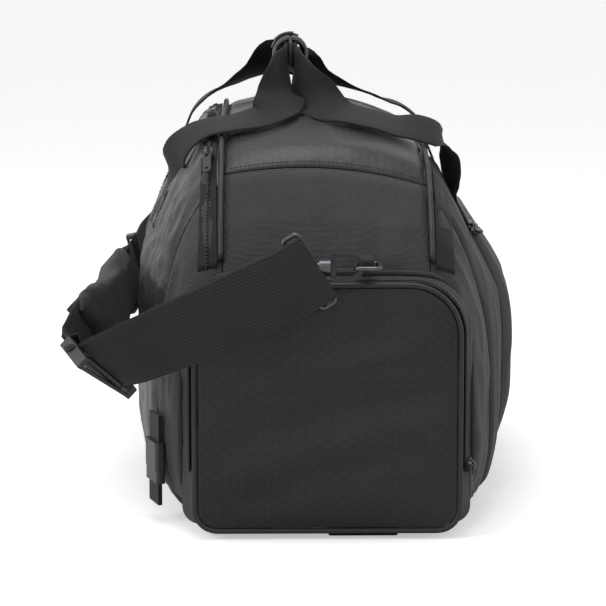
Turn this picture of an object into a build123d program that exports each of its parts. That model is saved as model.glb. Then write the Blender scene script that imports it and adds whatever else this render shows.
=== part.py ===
"""Duffel bag with an end pocket, carry handles and a hooked-on shoulder strap.

Millimetres. X across the bag, Y along it (the zipped end pocket faces -Y), +Z up.
The origin is on the floor, under the middle of the body.
"""
from build123d import *
import os
from math import sin, cos, radians, hypot

os.makedirs("parts", exist_ok=True)

# ---------------------------------------------------------------- driving sizes
bag_length = 540.0  # outside of one end panel to the other
bag_width = 288.0  # across the swell of the sides
bag_height = 294.0  # floor to the crest of the top
wall = 3.0  # foam-backed fabric
gap = 0.3  # between pieces of different bodies
gusset_depth = 30.0  # the end panels stand this far off the body
end_width = 186.0  # end panel
end_top = 182.0
end_base = 8.0  # the bottom seam of each end is off the floor
end_corner = 35.0
end_base_corner = 14.0
splay = 12.0  # a gusset widens by this much on each side
gusset_drop = 4.0  # a gusset's back edge is this far below the body's top
top_half = 76.0  # middle of the bag to a piping of the top
crown = 11.0  # rise of the top between its pipings
droop = 18.0  # the right-hand side has sunk by this much at the piping
slim = 5.0  # and is this much narrower
body_end_top = 191.0  # top of the body behind an end gusset
body_end_width = 216.0
base_half = 106.0  # flat of the base, to each side
base_rim = 16.0  # height of the base panel's sides
flat_half = 190.0  # flat of the base, towards each end
seam_y = 185.0  # cross seam between the top and an upper end panel
corner_y = 195.0  # seam between a side and a corner panel
stations = (-1.0, -0.92, -0.82, -0.7, -0.5, -0.22, 0.22, 0.5, 0.7, 0.82, 0.92, 1.0)

board_width = 180.0
board_length = 350.0
board_thick = 2.0

piping_r = 2.0
tape_width = 12.0
tape_thick = 1.0
coil_width = 3.4
coil_thick = 1.8

pocket_length = 250.0  # side pocket
pocket_low = 34.0
pocket_high = 200.0
pocket_depth = 9.0
pocket_wall = 1.5

handle_width = 38.0
handle_thick = 1.8
handle_y = 110.0  # each handle's legs are sewn on this far from the middle
anchor_z = 226.0  # top of the sewn anchor, where a handle folds
anchor_drop = 18.0
fold_room = 2.2  # left free above an anchor, where the webbing bends
grip_x = -24.0  # the grip leans to one side
grip_z = 334.0
grip_length = 112.0
grip_r = 14.0
grip_wall = 3.2
grip_web = 18.0  # webbing folded in two inside the grip

strap_width = 50.0
strap_thick = 1.8
double_thick = 3.8  # two layers with the turned end between them
pad_width = 64.0
pad_thick = 9.0

swing_x = 19.0  # the shoulder strap swings about this line
swing_z = 200.0
ring_wire = 3.2
ring_inner = 14.0
ring_long = 26.4  # middle of its bar to the middle of its far side
ring_corner = 3.4
tab_width = 10.0
tab_thick = 1.6

hook_inner_r = 6.5
hook_bar = 3.4
hook_thick = 5.0
hook_play = 0.8  # between a ring's wire and the bow, along the hook
hook_base = 5.0  # x of the inside of the hook's base
gate_high = 2.8
gate_gap = 0.4
stem_r = 2.3
flange_r = 3.2
collar_r = 5.0
collar_back = -6.4
loop_wire = 3.2
loop_long = 55.2  # between the wires' middles
loop_short = 12.2

body_end = bag_length / 2 - gusset_depth
end_face = bag_length / 2
panel_back = end_face - wall
ring_bar_y = end_face + 4
swing_y = ring_bar_y + 16.5  # both hooks hang at this distance from the middle


def at(x, y, z):
    """A place on a bag 288 wide, 540 long and 294 high, moved with this bag's own sizes."""
    return x * bag_width / 288, y * bag_length / 540, z * bag_height / 294


def fall(y):
    """0 in the middle of the bag, 1 at the body's ends."""
    return min(abs(y) / body_end, 1.0)


def top_z(y):
    """Crest of the body at y."""
    return bag_height - (bag_height - body_end_top) * fall(y) ** 4.5


def edge_z(y, side=-1):
    """Height of the top's piping at y, on the left (-1) or the right (1)."""
    sunk = droop * (1 - fall(y) ** 2.5) if side > 0 else 0.0
    return top_z(y) - crown * (1 - fall(y)) - 3.0 - sunk


def half_width(y, side=-1):
    drawn_in = slim * (1 - fall(y) ** 2) if side > 0 else 0.0
    return bag_width / 2 - (bag_width - body_end_width) / 2 * fall(y) ** 3 - drawn_in


def base_z(y):
    """The base lifts off the floor towards each end."""
    return end_base * max(0.0, (abs(y) - flat_half) / (body_end - flat_half)) ** 1.5


# a side's outline above its widest line, as shares of the way out and of the height, and its slope at the piping
full_side = {-1: (((0.9, 0.68), (0.7, 0.79), (0.43, 0.91), (0.32, 0.98)), (-1, 0.2)),
             1: (((0.9, 0.62), (0.55, 0.745), (0.25, 0.87), (0.1, 0.95)), (-0.3, 1))}
end_side = (((0.92, 0.62), (0.74, 0.79), (0.45, 0.92), (0.22, 0.975)), (-1, 0.5))


def side_line(y, inset, side):
    """Points of a side's outline from the base up to the piping, and the slope it ends with."""
    low, edge = base_z(y) + inset, edge_z(y, side) - inset
    half, top = half_width(y, side) - inset, top_half - 0.5 * inset
    base = base_half * (1 - 0.25 * fall(y) ** 3) - 0.5 * inset
    rise = edge - low
    share = fall(y) ** 2
    (full, full_slope), (last, last_slope) = full_side[side], end_side
    points = [(base, low), (half * 0.94, low + 0.1 * rise), (half, low + 0.37 * rise)]
    for (u0, v0), (u1, v1) in zip(full, last):
        u, v = u0 + (u1 - u0) * share, v0 + (v1 - v0) * share
        points.append((top + u * (half - top), low + v * rise))
    slope = [p + (q - p) * share for p, q in zip(full_slope, last_slope)]
    return [(side * x, z) for x, z in points + [(top, edge)]], (side * slope[0], slope[1])


def body_sketch(y, inset=0.0):
    """The body's outline at y, drawn in by inset."""
    with BuildSketch(Plane.XZ.offset(-y)) as sketch:
        with BuildLine():
            right, right_slope = side_line(y, inset, 1)
            left, left_slope = side_line(y, inset, -1)
            Line(left[0], right[0])
            Spline(*right, tangents=((1, 0.25), right_slope))
            ThreePointArc(right[-1], (-0.2 * top_half * (1 - fall(y)), top_z(y) - inset), left[-1])
            Spline(*left, tangents=((-1, 0.25), left_slope))
        make_face()
    return sketch.sketch


def end_sketch(y, half, low, high, corner, base_corner):
    """An end panel's outline at y, or one edge of its gusset: round at the top, nearly square at the base."""
    with BuildSketch(Plane.XZ.offset(-y)) as sketch:
        with Locations((0, (low + high) / 2)):
            Rectangle(2 * half, high - low)
        fillet(sketch.vertices().group_by(Axis.Y)[-1], corner)
        fillet(sketch.vertices().group_by(Axis.Y)[0], base_corner)
    return sketch.sketch


def body_solid(inset):
    """The whole body, drawn in by inset on every side."""
    reach = body_end - inset
    with BuildPart() as body:
        for station in stations:
            y = station * reach
            add(body_sketch(y, inset))
        loft(ruled=True)
    return body.part


def gusset_solid(grow, end):
    """The tapered block between the body's end (end = -1 or 1) and its end panel, grown by grow."""
    with BuildPart() as block:
        add(end_sketch(end * body_end, end_width / 2 + splay + grow, end_base - grow,
                       body_end_top - gusset_drop + grow, end_corner + splay / 2, end_base_corner))
        add(end_sketch(end * panel_back, end_width / 2 + grow, end_base - grow, end_top + grow,
                       end_corner, end_base_corner))
        loft(ruled=True)
    return block.part


def keep_box(x, y, z):
    """Keep only what lies inside the box given by three (low, high) pairs."""
    with Locations(((x[0] + x[1]) / 2, (y[0] + y[1]) / 2, (z[0] + z[1]) / 2)):
        Box(x[1] - x[0], y[1] - y[0], z[1] - z[0], mode=Mode.INTERSECT)


def save(piece, name):
    piece.label = name
    export_step(piece, f"parts/{name}.step")


# ---------------------------------------------------------------- sewn body
wide = bag_width  # farther than any panel reaches from the middle
tall = 2 * bag_height
inside_end = body_end - wall
outer = body_solid(0.0)
inner = body_solid(wall)
with BuildPart() as shell:
    add(outer)
    add(inner, mode=Mode.SUBTRACT)

panels = {
    "base_panel": ((-wide, wide), (-body_end, body_end), (-1, base_rim)),
    "top_panel": ((-top_half, top_half), (-seam_y, seam_y), (base_rim, tall)),
    "upper_end_panel_near": ((-top_half, top_half), (-inside_end, -seam_y), (base_rim, tall)),
    "upper_end_panel_far": ((-top_half, top_half), (seam_y, inside_end), (base_rim, tall)),
    "side_panel_left": ((-wide, -top_half), (-corner_y, corner_y), (base_rim, tall)),
    "side_panel_right": ((top_half, wide), (-corner_y, corner_y), (base_rim, tall)),
    "corner_panel_near_left": ((-wide, -top_half), (-inside_end, -corner_y), (base_rim, tall)),
    "corner_panel_near_right": ((top_half, wide), (-inside_end, -corner_y), (base_rim, tall)),
    "corner_panel_far_left": ((-wide, -top_half), (corner_y, inside_end), (base_rim, tall)),
    "corner_panel_far_right": ((top_half, wide), (corner_y, inside_end), (base_rim, tall)),
    "end_wall_near": ((-wide, wide), (-body_end, -inside_end), (base_rim, tall)),
    "end_wall_far": ((-wide, wide), (inside_end, body_end), (base_rim, tall)),
}
for name, (x, y, z) in panels.items():
    with BuildPart() as panel:
        add(shell.part)
        keep_box(x, y, z)
    save(panel.part, name)

with BuildPart() as base_board:
    with Locations((0, 0, wall + gap)):
        Box(board_width, board_length, board_thick, align=(Align.CENTER, Align.CENTER, Align.MIN))
    fillet(base_board.edges().filter_by(Axis.Z), 12)
save(base_board.part, "base_board")

# ---------------------------------------------------------------- end panels, their gussets and piping
pipe_y = panel_back + piping_r
end_pipes = []
for end, side_name in ((-1, "near"), (1, "far")):
    with BuildPart() as gusset:
        add(gusset_solid(0.0, end))
        add(gusset_solid(-wall, end), mode=Mode.SUBTRACT)
    save(gusset.part, f"end_gusset_{side_name}")

    with BuildPart() as end_panel:
        extrude(end_sketch(end * end_face, end_width / 2, end_base, end_top, end_corner, end_base_corner),
                amount=wall * end)
    save(end_panel.part, "end_pocket_panel" if end < 0 else "end_panel_far")

    outline = end_sketch(end * pipe_y, end_width / 2 + piping_r, end_base - piping_r,
                         end_top + piping_r, end_corner + piping_r, end_base_corner + piping_r)
    with BuildPart() as end_piping:
        path = outline.face().outer_wire()
        with BuildSketch(Plane(path @ 0, z_dir=path % 0)):
            Circle(piping_r)
        sweep(path=path)
    end_pipes.append(end_piping.part)
save(Compound(children=end_pipes), "end_piping")


def on_edge(y, lift, side):
    """The point that stands off the top's edge line at y by lift, square to that line."""
    rise = (edge_z(y + 1, side) - edge_z(y - 1, side)) / 2
    size = hypot(1, rise)
    return y - lift * rise / size, edge_z(y, side) + lift / size


pipe_reach = inside_end - 2
top_pipes = []
for side in (-1, 1):
    with BuildPart() as top_piping:
        for station in stations:
            y, z = on_edge(station * pipe_reach, piping_r + 2 * gap, side)
            with BuildSketch(Plane.XZ.offset(-y)):
                with Locations((side * top_half, z)):
                    Circle(piping_r)
        loft(ruled=True)
    top_pipes.append(top_piping.part)
save(Compound(children=top_pipes), "top_piping")

# ---------------------------------------------------------------- zips
tape_in = top_half + piping_r + 1
tape_mid = tape_in + tape_width / 2
zip_reach = body_end - 6
tape_top = body_solid(-tape_thick)
coil_top = body_solid(-tape_thick - coil_thick)


def strip(over, under, x, y, z):
    """A thin strip between two nested solids, cut to a box."""
    with BuildPart() as skin:
        add(over)
        add(under, mode=Mode.SUBTRACT)
        keep_box(x, y, z)
    return skin.part


whole_y = (-zip_reach, zip_reach)
high = (base_rim + 100, tall)
save(strip(tape_top, outer, (-tape_in - tape_width, -tape_in), whole_y, high), "main_zip_tape")
save(strip(coil_top, tape_top, (-tape_mid - coil_width / 2, -tape_mid + coil_width / 2), whole_y, high),
     "main_zip_coil")
save(strip(tape_top, outer, (tape_in, tape_in + tape_width), whole_y, high), "edge_tape_right")

zip_low = end_base + end_base_corner + 22  # the end pocket's zip stops here on both sides
zip_front = -(panel_back - 5)
zip_mid = zip_front + tape_width / 2
end_tape = gusset_solid(tape_thick, -1)
end_coil = gusset_solid(tape_thick + coil_thick, -1)
save(strip(end_tape, gusset_solid(0.0, -1), (-wide, wide), (zip_front, zip_front + tape_width),
           (zip_low, tall)), "end_zip_tape")
save(strip(end_coil, end_tape, (-wide, wide), (zip_mid - coil_width / 2, zip_mid + coil_width / 2),
           (zip_low, tall)), "end_zip_coil")

# ---------------------------------------------------------------- side pocket
pocket_y = (-pocket_length / 2, pocket_length / 2)
with BuildPart() as side_pocket:
    add(body_solid(-pocket_depth))
    add(outer, mode=Mode.SUBTRACT)
    keep_box((top_half, wide), pocket_y, (pocket_low, pocket_high))
    add(strip(body_solid(-pocket_depth + pocket_wall), outer, (top_half, wide),
              (pocket_y[0] + pocket_wall, pocket_y[1] - pocket_wall),
              (pocket_low + pocket_wall, pocket_high - pocket_wall)), mode=Mode.SUBTRACT)
save(side_pocket.part, "side_pocket")


def side_x(y, z, side=1):
    """How far the body reaches at y and z, to the right (1) or the left (-1)."""
    ray = Edge.make_line((0, y, z), (side * 2 * wide, y, z))
    return max(side * v.X for v in (body_sketch(y).face() & ray).vertices())


# ---------------------------------------------------------------- zip sliders and pulls
slider_length = 11.0
slider_width = 7.6
slider_high = 2.6
bridge_high = 3.4
bridge_wall = 1.2
bridge_reach = 6.0
pull_width = 6.4
pull_thick = 1.2
pull_length = 24.0
cord_pull_width = 4.6
cord_pull_thick = 1.6
cord_pull_length = 26.0


def zip_slider(seat):
    """A slider on the plane seat, whose x runs along the zip and whose z points out of it."""
    with BuildPart() as slider:
        with BuildSketch(seat):
            Trapezoid(slider_length, slider_width, 82)
        extrude(amount=slider_high)
        fillet(slider.edges().filter_by(Axis(seat.origin, seat.z_dir)), 1.2)
        upright = Plane(seat.origin, x_dir=seat.x_dir, z_dir=-seat.y_dir)
        with BuildSketch(upright) as bridge:
            with Locations((0, slider_high)):
                Ellipse(bridge_reach / 2 + bridge_wall, bridge_high + bridge_wall)
                Ellipse(bridge_reach / 2, bridge_high, mode=Mode.SUBTRACT)
            with Locations((0, -slider_length)):
                Rectangle(3 * slider_length, 2 * (slider_length + slider_high), mode=Mode.SUBTRACT)
        extrude(bridge.sketch, amount=1.0, both=True)
    return slider.part


def pull_pivot(seat):
    """Where a pull turns in the bridge of the slider on seat."""
    return seat.origin + seat.z_dir * (slider_high + bridge_high / 2 - 0.2)


def zip_pull(seat, along, width=pull_width, length=pull_length, thick=pull_thick):
    """A tab that lies from the bridge towards along; its eye goes round the bridge."""
    middle = Plane(pull_pivot(seat), x_dir=along, z_dir=along.cross(seat.y_dir))
    bar = 0.7
    eye_end = bridge_reach / 2 + bridge_wall + 2.4
    with BuildPart() as pull:
        with BuildSketch(middle):
            with Locations((length / 2 - bar, 0)):
                RectangleRounded(length, width, 0.4 * width)
            with Locations(((bar + eye_end) / 2, 0)):
                RectangleRounded(eye_end - bar, 2.0 + 3 * gap, 0.8, mode=Mode.SUBTRACT)
            with Locations((length - 4.5, 0)):
                Circle(0.2 * width, mode=Mode.SUBTRACT)
        extrude(amount=thick / 2, both=True)
    return pull.part


def seat_on(origin, along, out):
    """The plane of a slider: x along the zip, z out of it."""
    along, out = Vector(*along), Vector(*out)
    out = out - along * (out.dot(along) / along.dot(along))
    return Plane(Vector(*origin), x_dir=along.normalized(), z_dir=out.normalized())


# the main zip's two sliders stand nose to nose on the left edge of the top
main_park_a = -46.0
main_park_b = stations[3] * body_end - 2  # both on straight stretches of the coil
mid_half = tape_mid


def top_surface(y):
    """Height of the coil's face at y, on the line of the main zip's coil."""
    ray = Edge.make_line((-mid_half, y, base_rim), (-mid_half, y, tall))
    inset = -tape_thick - coil_thick
    return max(v.Z for v in (body_sketch(y, inset).face() & ray).vertices())


def on_coil(y):
    """Height of the coil at y: straight between the body's stations."""
    before = max(station for station in stations if station * body_end <= y) * body_end
    after = min(station for station in stations if station * body_end > y) * body_end
    low, high = top_surface(before), top_surface(after)
    return low + (high - low) * (y - before) / (after - before)


for name, y0, y1 in (("a", main_park_a, main_park_a + 12), ("b", main_park_b, main_park_b - 24)):
    z0, z1 = on_coil(y0), on_coil(y1)
    run = Vector(0, y1 - y0, z1 - z0).normalized()
    seat = seat_on((-mid_half, y0, z0 + 3 * gap), tuple(run), (-0.35, 0, 1))
    save(zip_slider(seat), f"main_slider_{name}")
    save(zip_pull(seat, seat.x_dir), f"main_pull_{name}")
    print("main", name, seat.origin, "run", run, "pivot", pull_pivot(seat), "across", seat.y_dir)

# the end pocket's slider is parked at the right-hand bottom of its zip
lean = Vector(panel_back - body_end, -splay, 0).normalized()
end_half = end_width / 2 + splay * (zip_mid + panel_back) / gusset_depth
end_park = zip_low + slider_length / 2 + 2
seat = seat_on((end_half, zip_mid, end_park), (0, 0, 1), tuple(lean))
seat = seat.offset(tape_thick + coil_thick + gap)
save(zip_slider(seat), "end_slider")
save(zip_pull(seat, -seat.x_dir), "end_pull")
print("end", seat.origin, "out", seat.z_dir, "pivot", pull_pivot(seat), "across", seat.y_dir)

# the side pocket's zip runs along its top; both sliders are parked at the near end
side_zip_y = (pocket_y[0] + 3, pocket_y[1] - 3)
side_start, side_end = stations[4] * body_end, stations[5] * body_end  # a straight stretch of the side
zip_out = pocket_depth / 2


def mouth(y):
    """Middle of the pocket's mouth at y."""
    return side_x(y, pocket_high) + zip_out


with BuildPart() as side_zip:
    with BuildSketch(Plane.XY.offset(pocket_high)):
        with BuildLine():
            inner_edge = [(side_x(y, pocket_high) + 1, y) for y in (side_zip_y[0], side_start, side_end)]
            far_edge = [(x, -y) for x, y in reversed(inner_edge)]
            inner_edge = inner_edge + far_edge
            outer_edge = [(x + pocket_depth - 2.5, y) for x, y in reversed(inner_edge)]
            Polyline(*inner_edge, *outer_edge, close=True)
        make_face()
    extrude(amount=tape_thick)
save(side_zip.part, "side_zip")

zip_run = Vector(mouth(side_end) - mouth(side_start), side_end - side_start, 0).normalized()
for name, step in (("a", 4.0), ("b", 22.0)):
    foot = Vector(mouth(side_start), side_start, pocket_high + tape_thick + gap) + zip_run * step
    seat = seat_on(tuple(foot), tuple(zip_run), (0, 0, 1))
    save(zip_slider(seat), f"side_slider_{name}")
    save(zip_pull(seat, -seat.x_dir, cord_pull_width, cord_pull_length, cord_pull_thick)
         if name == "a" else
         zip_pull(seat, seat.x_dir, cord_pull_width, cord_pull_length, cord_pull_thick),
         f"side_pull_{name}")
    print("side", name, seat.origin, "run", zip_run, "pivot", pull_pivot(seat), "across", seat.y_dir)


# ---------------------------------------------------------------- webbing
def ribbon(stations):
    """Webbing through stations of (point, direction of its width, width, thickness)."""
    points = [Vector(*point) for point, _, _, _ in stations]
    rings = []
    for n, (_, across, width, thick) in enumerate(stations):
        before, after = points[max(n - 1, 0)], points[min(n + 1, len(points) - 1)]
        plane = Plane(points[n], x_dir=across, z_dir=after - before)
        rings.append([plane.from_local_coords((x * width / 2, y * thick / 2, 0))
                      for x, y in ((-1, -1), (1, -1), (1, 1), (-1, 1))])
    faces = [Face(Wire.make_polygon(ring)) for ring in (rings[0], rings[-1])]
    for ring, following in zip(rings, rings[1:]):
        for k in range(4):
            faces.append(Face.make_surface_from_curves(Edge.make_line(ring[k - 1], ring[k]),
                                                       Edge.make_line(following[k - 1], following[k])))
    return Solid(Shell(faces))


# carry handles: each has a near leg, which droops, a far leg, which is drawn tight, and a grip between them
def up_side(z, out, side, end):
    """A leg's station off the side panel at height z: its point and the direction of its width."""
    edges = [side_x(end * (handle_y + n * handle_width / 2), z, side) for n in (-1, 1)]
    return ((side * (sum(edges) / 2 + handle_thick / 2 + out), end * handle_y, z),
            (side * (edges[1] - edges[0]) * end, handle_width, 0))


sewn_on = ((anchor_z + fold_room, 1.5), (234, 2.6), (243, 3.2))
legs = {
    ("left", -1): (sewn_on, [
        ((-114, -118, 257), (-0.42, 0.9, 0)),
        ((-108, -123, 268), (-0.42, 0.88, 0.1)), ((-98, -126, 278), (-0.3, 0.93, 0.2)),
        ((-85, -127, 284), (-0.15, 0.95, 0.22)), ((-70, -127, 286.5), (-0.1, 0.96, 0.22)),
        ((-42, -122, 292.5), (-0.2, 0.92, 0.33)), ((-32, -103, 303), (-0.75, 0.3, 0.35)),
        ((-31, -82, 318), (-0.4, -0.45, 0.75))]),
    ("left", 1): (sewn_on, [
        ((-112, 110, 256), (0, 1, 0)), ((-108, 110, 268), (0, 1, 0)), ((-102, 108, 279), (0, 1, 0)),
        ((-90, 103, 291), (0, 1, 0)), ((-72, 92, 304), (0, 0.98, -0.2)), ((-52, 77, 319), (0, 0.9, -0.4)),
        ((-36, 66, 331), (0, 0.7, -0.7))]),
    ("right", -1): (sewn_on[:1], [
        ((100, -110, 238), (0, 1, 0)), ((102.5, -110, 249), (0.05, 1, 0.05)),
        ((100.5, -110.5, 259), (0.05, 0.98, 0.15)), ((96, -111, 267), (0.05, 0.93, 0.35)),
        ((87, -112, 275.5), (0, 0.87, 0.45)), ((74, -114, 280.5), (0, 0.87, 0.45)),
        ((56, -117, 283), (0, 0.93, 0.33)), ((38, -119, 288.5), (0, 0.95, 0.3)),
        ((18, -118, 293), (0.1, 0.95, 0.3)), ((3, -110, 297), (0.45, 0.75, 0.4)),
        ((-10.5, -86, 312), (0.36, -0.4, 0.75))]),
    ("right", 1): (sewn_on, [
        ((88, 110, 256), (0, 1, 0)), ((84, 110, 269), (0, 1, 0)), ((71, 108, 280), (0, 1, 0)),
        ((53, 99, 287), (0, 1, -0.05)), ((32, 88, 298), (0, 0.98, -0.15)), ((2, 73, 314), (0, 0.9, -0.4)),
        ((-13, 65, 325), (0, 0.7, -0.7))]),
}
web_x = {"left": grip_x - 3.4, "right": grip_x + 3.4}
for side, name in ((-1, "left"), (1, "right")):
    near, far = ([(point, across, handle_width, handle_thick)
                  for point, across in [up_side(z, out, side, end) for z, out in legs[name, end][0]]
                  + [(at(*point), across) for point, across in legs[name, end][1]]]
                 for end in (-1, 1))
    grip = [((web_x[name], y, grip_z), (0, 0, 1), grip_web, 2 * handle_thick)
            for y in (-grip_length / 2 - 4, grip_length / 2 + 4)]
    turned = [(point, tuple(-part for part in across), *web) for point, across, *web in far[::-1]]
    save(ribbon(near + grip + turned), f"handle_{name}")

    # half of the padded wrap, on this handle's side of the grip
    with BuildPart() as half_wrap:
        with BuildSketch(Plane.XZ):
            with Locations((grip_x, grip_z)):
                Circle(grip_r)
                Circle(grip_r - grip_wall, mode=Mode.SUBTRACT)
            with Locations((grip_x - side * (grip_r - gap / 2), grip_z)):
                Rectangle(2 * grip_r, 3 * grip_r, mode=Mode.SUBTRACT)
        extrude(amount=grip_length / 2, both=True)
    save(half_wrap.part, f"grip_wrap_{name}")

# sewn anchors: each leg goes on down the side panel below its fold
with BuildPart() as anchors:
    for side in (-1, 1):
        for end in (-1, 1):
            down = [up_side(z, 1.5, side, end) for z in (anchor_z - anchor_drop, anchor_z)]
            add(ribbon([(point, across, handle_width, handle_thick) for point, across in down]))
save(anchors.part, "handle_anchors")


# ---------------------------------------------------------------- D-rings and their tabs
def wire_loop(plane, long, short, corner, wire):
    """A closed loop of round wire on a plane, rounded at the corners."""
    with BuildSketch(plane) as frame:
        RectangleRounded(long, short, corner)
    path = frame.sketch.face().outer_wire()
    with BuildPart() as loop:
        with BuildSketch(Plane(path @ 0, z_dir=path % 0)):
            Circle(wire / 2)
        sweep(path=path)
    return loop.part


ring_mid = swing_x + (ring_inner + ring_wire) / 2
tab_in = ring_wire / 2 + gap
tabs = []
for end, name in ((-1, "near"), (1, "far")):
    middle = Plane((ring_mid, end * (ring_bar_y + ring_long / 2), swing_z))
    save(wire_loop(middle, ring_inner + ring_wire, ring_long, ring_corner, ring_wire), f"d_ring_{name}")

    tail = ring_bar_y - body_end_top / 4
    with BuildPart() as tab:
        with BuildSketch(Plane.YZ.offset(ring_mid - tab_width / 2)):
            with Locations((end * ring_bar_y, swing_z)):
                Circle(tab_in + tab_thick)
            with Locations((end * (ring_bar_y + tail) / 2, swing_z)):
                Rectangle(ring_bar_y - tail, 2 * tab_thick)
            with Locations((end * ring_bar_y, swing_z)):
                Circle(tab_in, mode=Mode.SUBTRACT)
        extrude(amount=tab_width)
        add(outer, mode=Mode.SUBTRACT)
    tabs.append(tab.part)
save(Compound(children=tabs), "ring_tabs")

# ---------------------------------------------------------------- hooks, with the strap's loops
bow_x = swing_x + ring_wire / 2 + hook_play - hook_inner_r
hook_half = hook_inner_r + hook_bar
hook_left = hook_base - hook_bar
gate_z = swing_z + hook_inner_r + hook_bar / 2
gate_left = hook_base + 1.2
gate_right = bow_x - 0.7
gate_pin = (hook_left + gate_left) / 2
pin_r = 0.8
heel = gate_pin - gate_high / 2
cheek = 0.9
loop_w = Vector(0.51, 0, -0.86).normalized()
loop_u = Vector(-0.86, 0, -0.51).normalized()
bar_1 = Vector(-8.1, 0, swing_z)
bar_2 = bar_1 + loop_u * loop_short
for end, name in ((-1, "near"), (1, "far")):
    hook_y = end * swing_y
    across = Plane.XZ.offset(-hook_y)  # x and z in the hook's middle plane
    with BuildPart() as hook:
        with BuildSketch(across) as face:
            with Locations(((hook_left + bow_x) / 2, swing_z)):
                Rectangle(bow_x - hook_left, 2 * hook_half)
            fillet(face.vertices().group_by(Axis.X)[0], 2.4)
            with Locations((bow_x, swing_z)):
                Circle(hook_half)
            with Locations(((hook_base + bow_x) / 2, swing_z)):
                Rectangle(bow_x - hook_base, 2 * hook_inner_r, mode=Mode.SUBTRACT)
            with Locations((bow_x, swing_z)):
                Circle(hook_inner_r, mode=Mode.SUBTRACT)
            with Locations(((gate_left + gate_right) / 2, gate_z)):
                Rectangle(gate_right - gate_left, 2 * hook_bar, mode=Mode.SUBTRACT)
            with Locations((gate_pin, gate_z)):
                Circle(pin_r + gap, mode=Mode.SUBTRACT)
        extrude(amount=hook_thick / 2, both=True)
        with BuildSketch(Plane((hook_left + 1, hook_y, swing_z), z_dir=(-1, 0, 0))):
            Circle(stem_r)
        extrude(amount=hook_left + 1 - collar_back - 2.0)
        with BuildSketch(Plane((collar_back + 3.2, hook_y, swing_z), z_dir=(-1, 0, 0))):
            Circle(flange_r)
        extrude(amount=1.2)
    save(hook.part, f"hook_{name}")

    with BuildPart() as gate:
        with BuildSketch(across):
            with Locations(((gate_left + gate_right) / 2, gate_z)):
                Rectangle(gate_right - gate_left - 2 * gate_gap, gate_high)
        extrude(amount=hook_thick / 2 + gap + cheek, both=True)
        with BuildSketch(across):
            with Locations(((heel + gate_right - gate_gap) / 2, gate_z)):
                SlotOverall(gate_right - gate_gap - heel, gate_high)
        extrude(amount=hook_thick / 2 + gap + cheek, both=True)
        with BuildSketch(across):
            with Locations((gate_left + gate_gap - 2 * hook_bar, gate_z)):
                Rectangle(4 * hook_bar, 2 * hook_bar)
        extrude(amount=hook_thick / 2 + gap, both=True, mode=Mode.SUBTRACT)
        with BuildSketch(across):
            with Locations((gate_pin, gate_z)):
                Circle(pin_r)
        extrude(amount=hook_thick / 2 + gap + cheek / 2, both=True)
    save(gate.part, f"gate_{name}")

    loop_plane = Plane((bar_1 + bar_2) / 2 + Vector(0, hook_y, 0), x_dir=loop_w, z_dir=(0, -end, 0))
    collar_face = hook_left - gap
    with BuildPart() as loop:
        with BuildSketch(Plane((collar_face, hook_y, swing_z), z_dir=(-1, 0, 0))):
            Circle(collar_r)
        extrude(amount=collar_face - collar_back)
        with BuildSketch(Plane((collar_back, hook_y, swing_z), z_dir=(-1, 0, 0))):
            Circle(loop_wire)
        extrude(amount=collar_back - bar_1.X)
        with BuildSketch(Plane((collar_face, hook_y, swing_z), z_dir=(-1, 0, 0))):
            Circle(stem_r + gap)
        extrude(amount=collar_face - collar_back - 1, mode=Mode.SUBTRACT)
        with BuildSketch(Plane((collar_back + 3.2 + gap, hook_y, swing_z), z_dir=(-1, 0, 0))):
            Circle(flange_r + gap)
        extrude(amount=1.2 + 2 * gap, mode=Mode.SUBTRACT)
        add(wire_loop(loop_plane, loop_long, loop_short, loop_wire, loop_wire))
    save(loop.part, f"strap_loop_{name}")

# ---------------------------------------------------------------- shoulder strap
tight = loop_wire / 2 + gap


def turn_round(end):
    """The webbing where it turns round a loop's outer bar."""
    with BuildPart() as turned:
        plane = Plane(bar_2 + Vector(0, end * swing_y, 0) - loop_w * strap_width / 2,
                      x_dir=(0, 1, 0), z_dir=loop_w)
        with BuildSketch(plane):
            Circle(tight + strap_thick)
            Circle(tight, mode=Mode.SUBTRACT)
        extrude(amount=strap_width)
    return turned.part


w_end = tuple(loop_w)
start = bar_2 + loop_u * (tight + strap_thick / 2)
clear = bar_2 + loop_u * 12
slider_at = Vector(*at(-161, -290, 129))
slider_w = Vector(0.55, 0.67, -0.50).normalized()
slider_n = Vector(0.673, 0, 0.74).normalized()
slider_w = (slider_w - slider_n * slider_w.dot(slider_n)).normalized()
slider_run = slider_n.cross(slider_w).normalized()
slider_long = 28.0  # along the webbing
slider_rail = 5.0
slider_tall = 9.0
web_end = slider_at + slider_run * (slider_long / 2 + 8)
near_double = [
    ((start.X, -swing_y, start.Z), w_end, strap_width, double_thick),
    ((clear.X, -swing_y - 3, clear.Z), w_end, strap_width, double_thick),
    (at(-45, -299, 182), w_end, strap_width, double_thick),
    (at(-72, -306, 170), (0.51, 0.05, -0.86), strap_width, double_thick),
    (at(-100, -308, 157), (0.52, 0.2, -0.82), strap_width, double_thick),
    (at(-128, -306, 143), (0.54, 0.45, -0.7), strap_width, double_thick),
    (tuple(slider_at - slider_run * slider_long / 2), tuple(slider_w), strap_width, double_thick),
    (tuple(slider_at), tuple(slider_w), strap_width, double_thick),
    (tuple(web_end), tuple(slider_w), strap_width, double_thick),
]
with BuildPart() as strap_near:
    add(turn_round(-1))
    add(ribbon(near_double))

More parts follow.
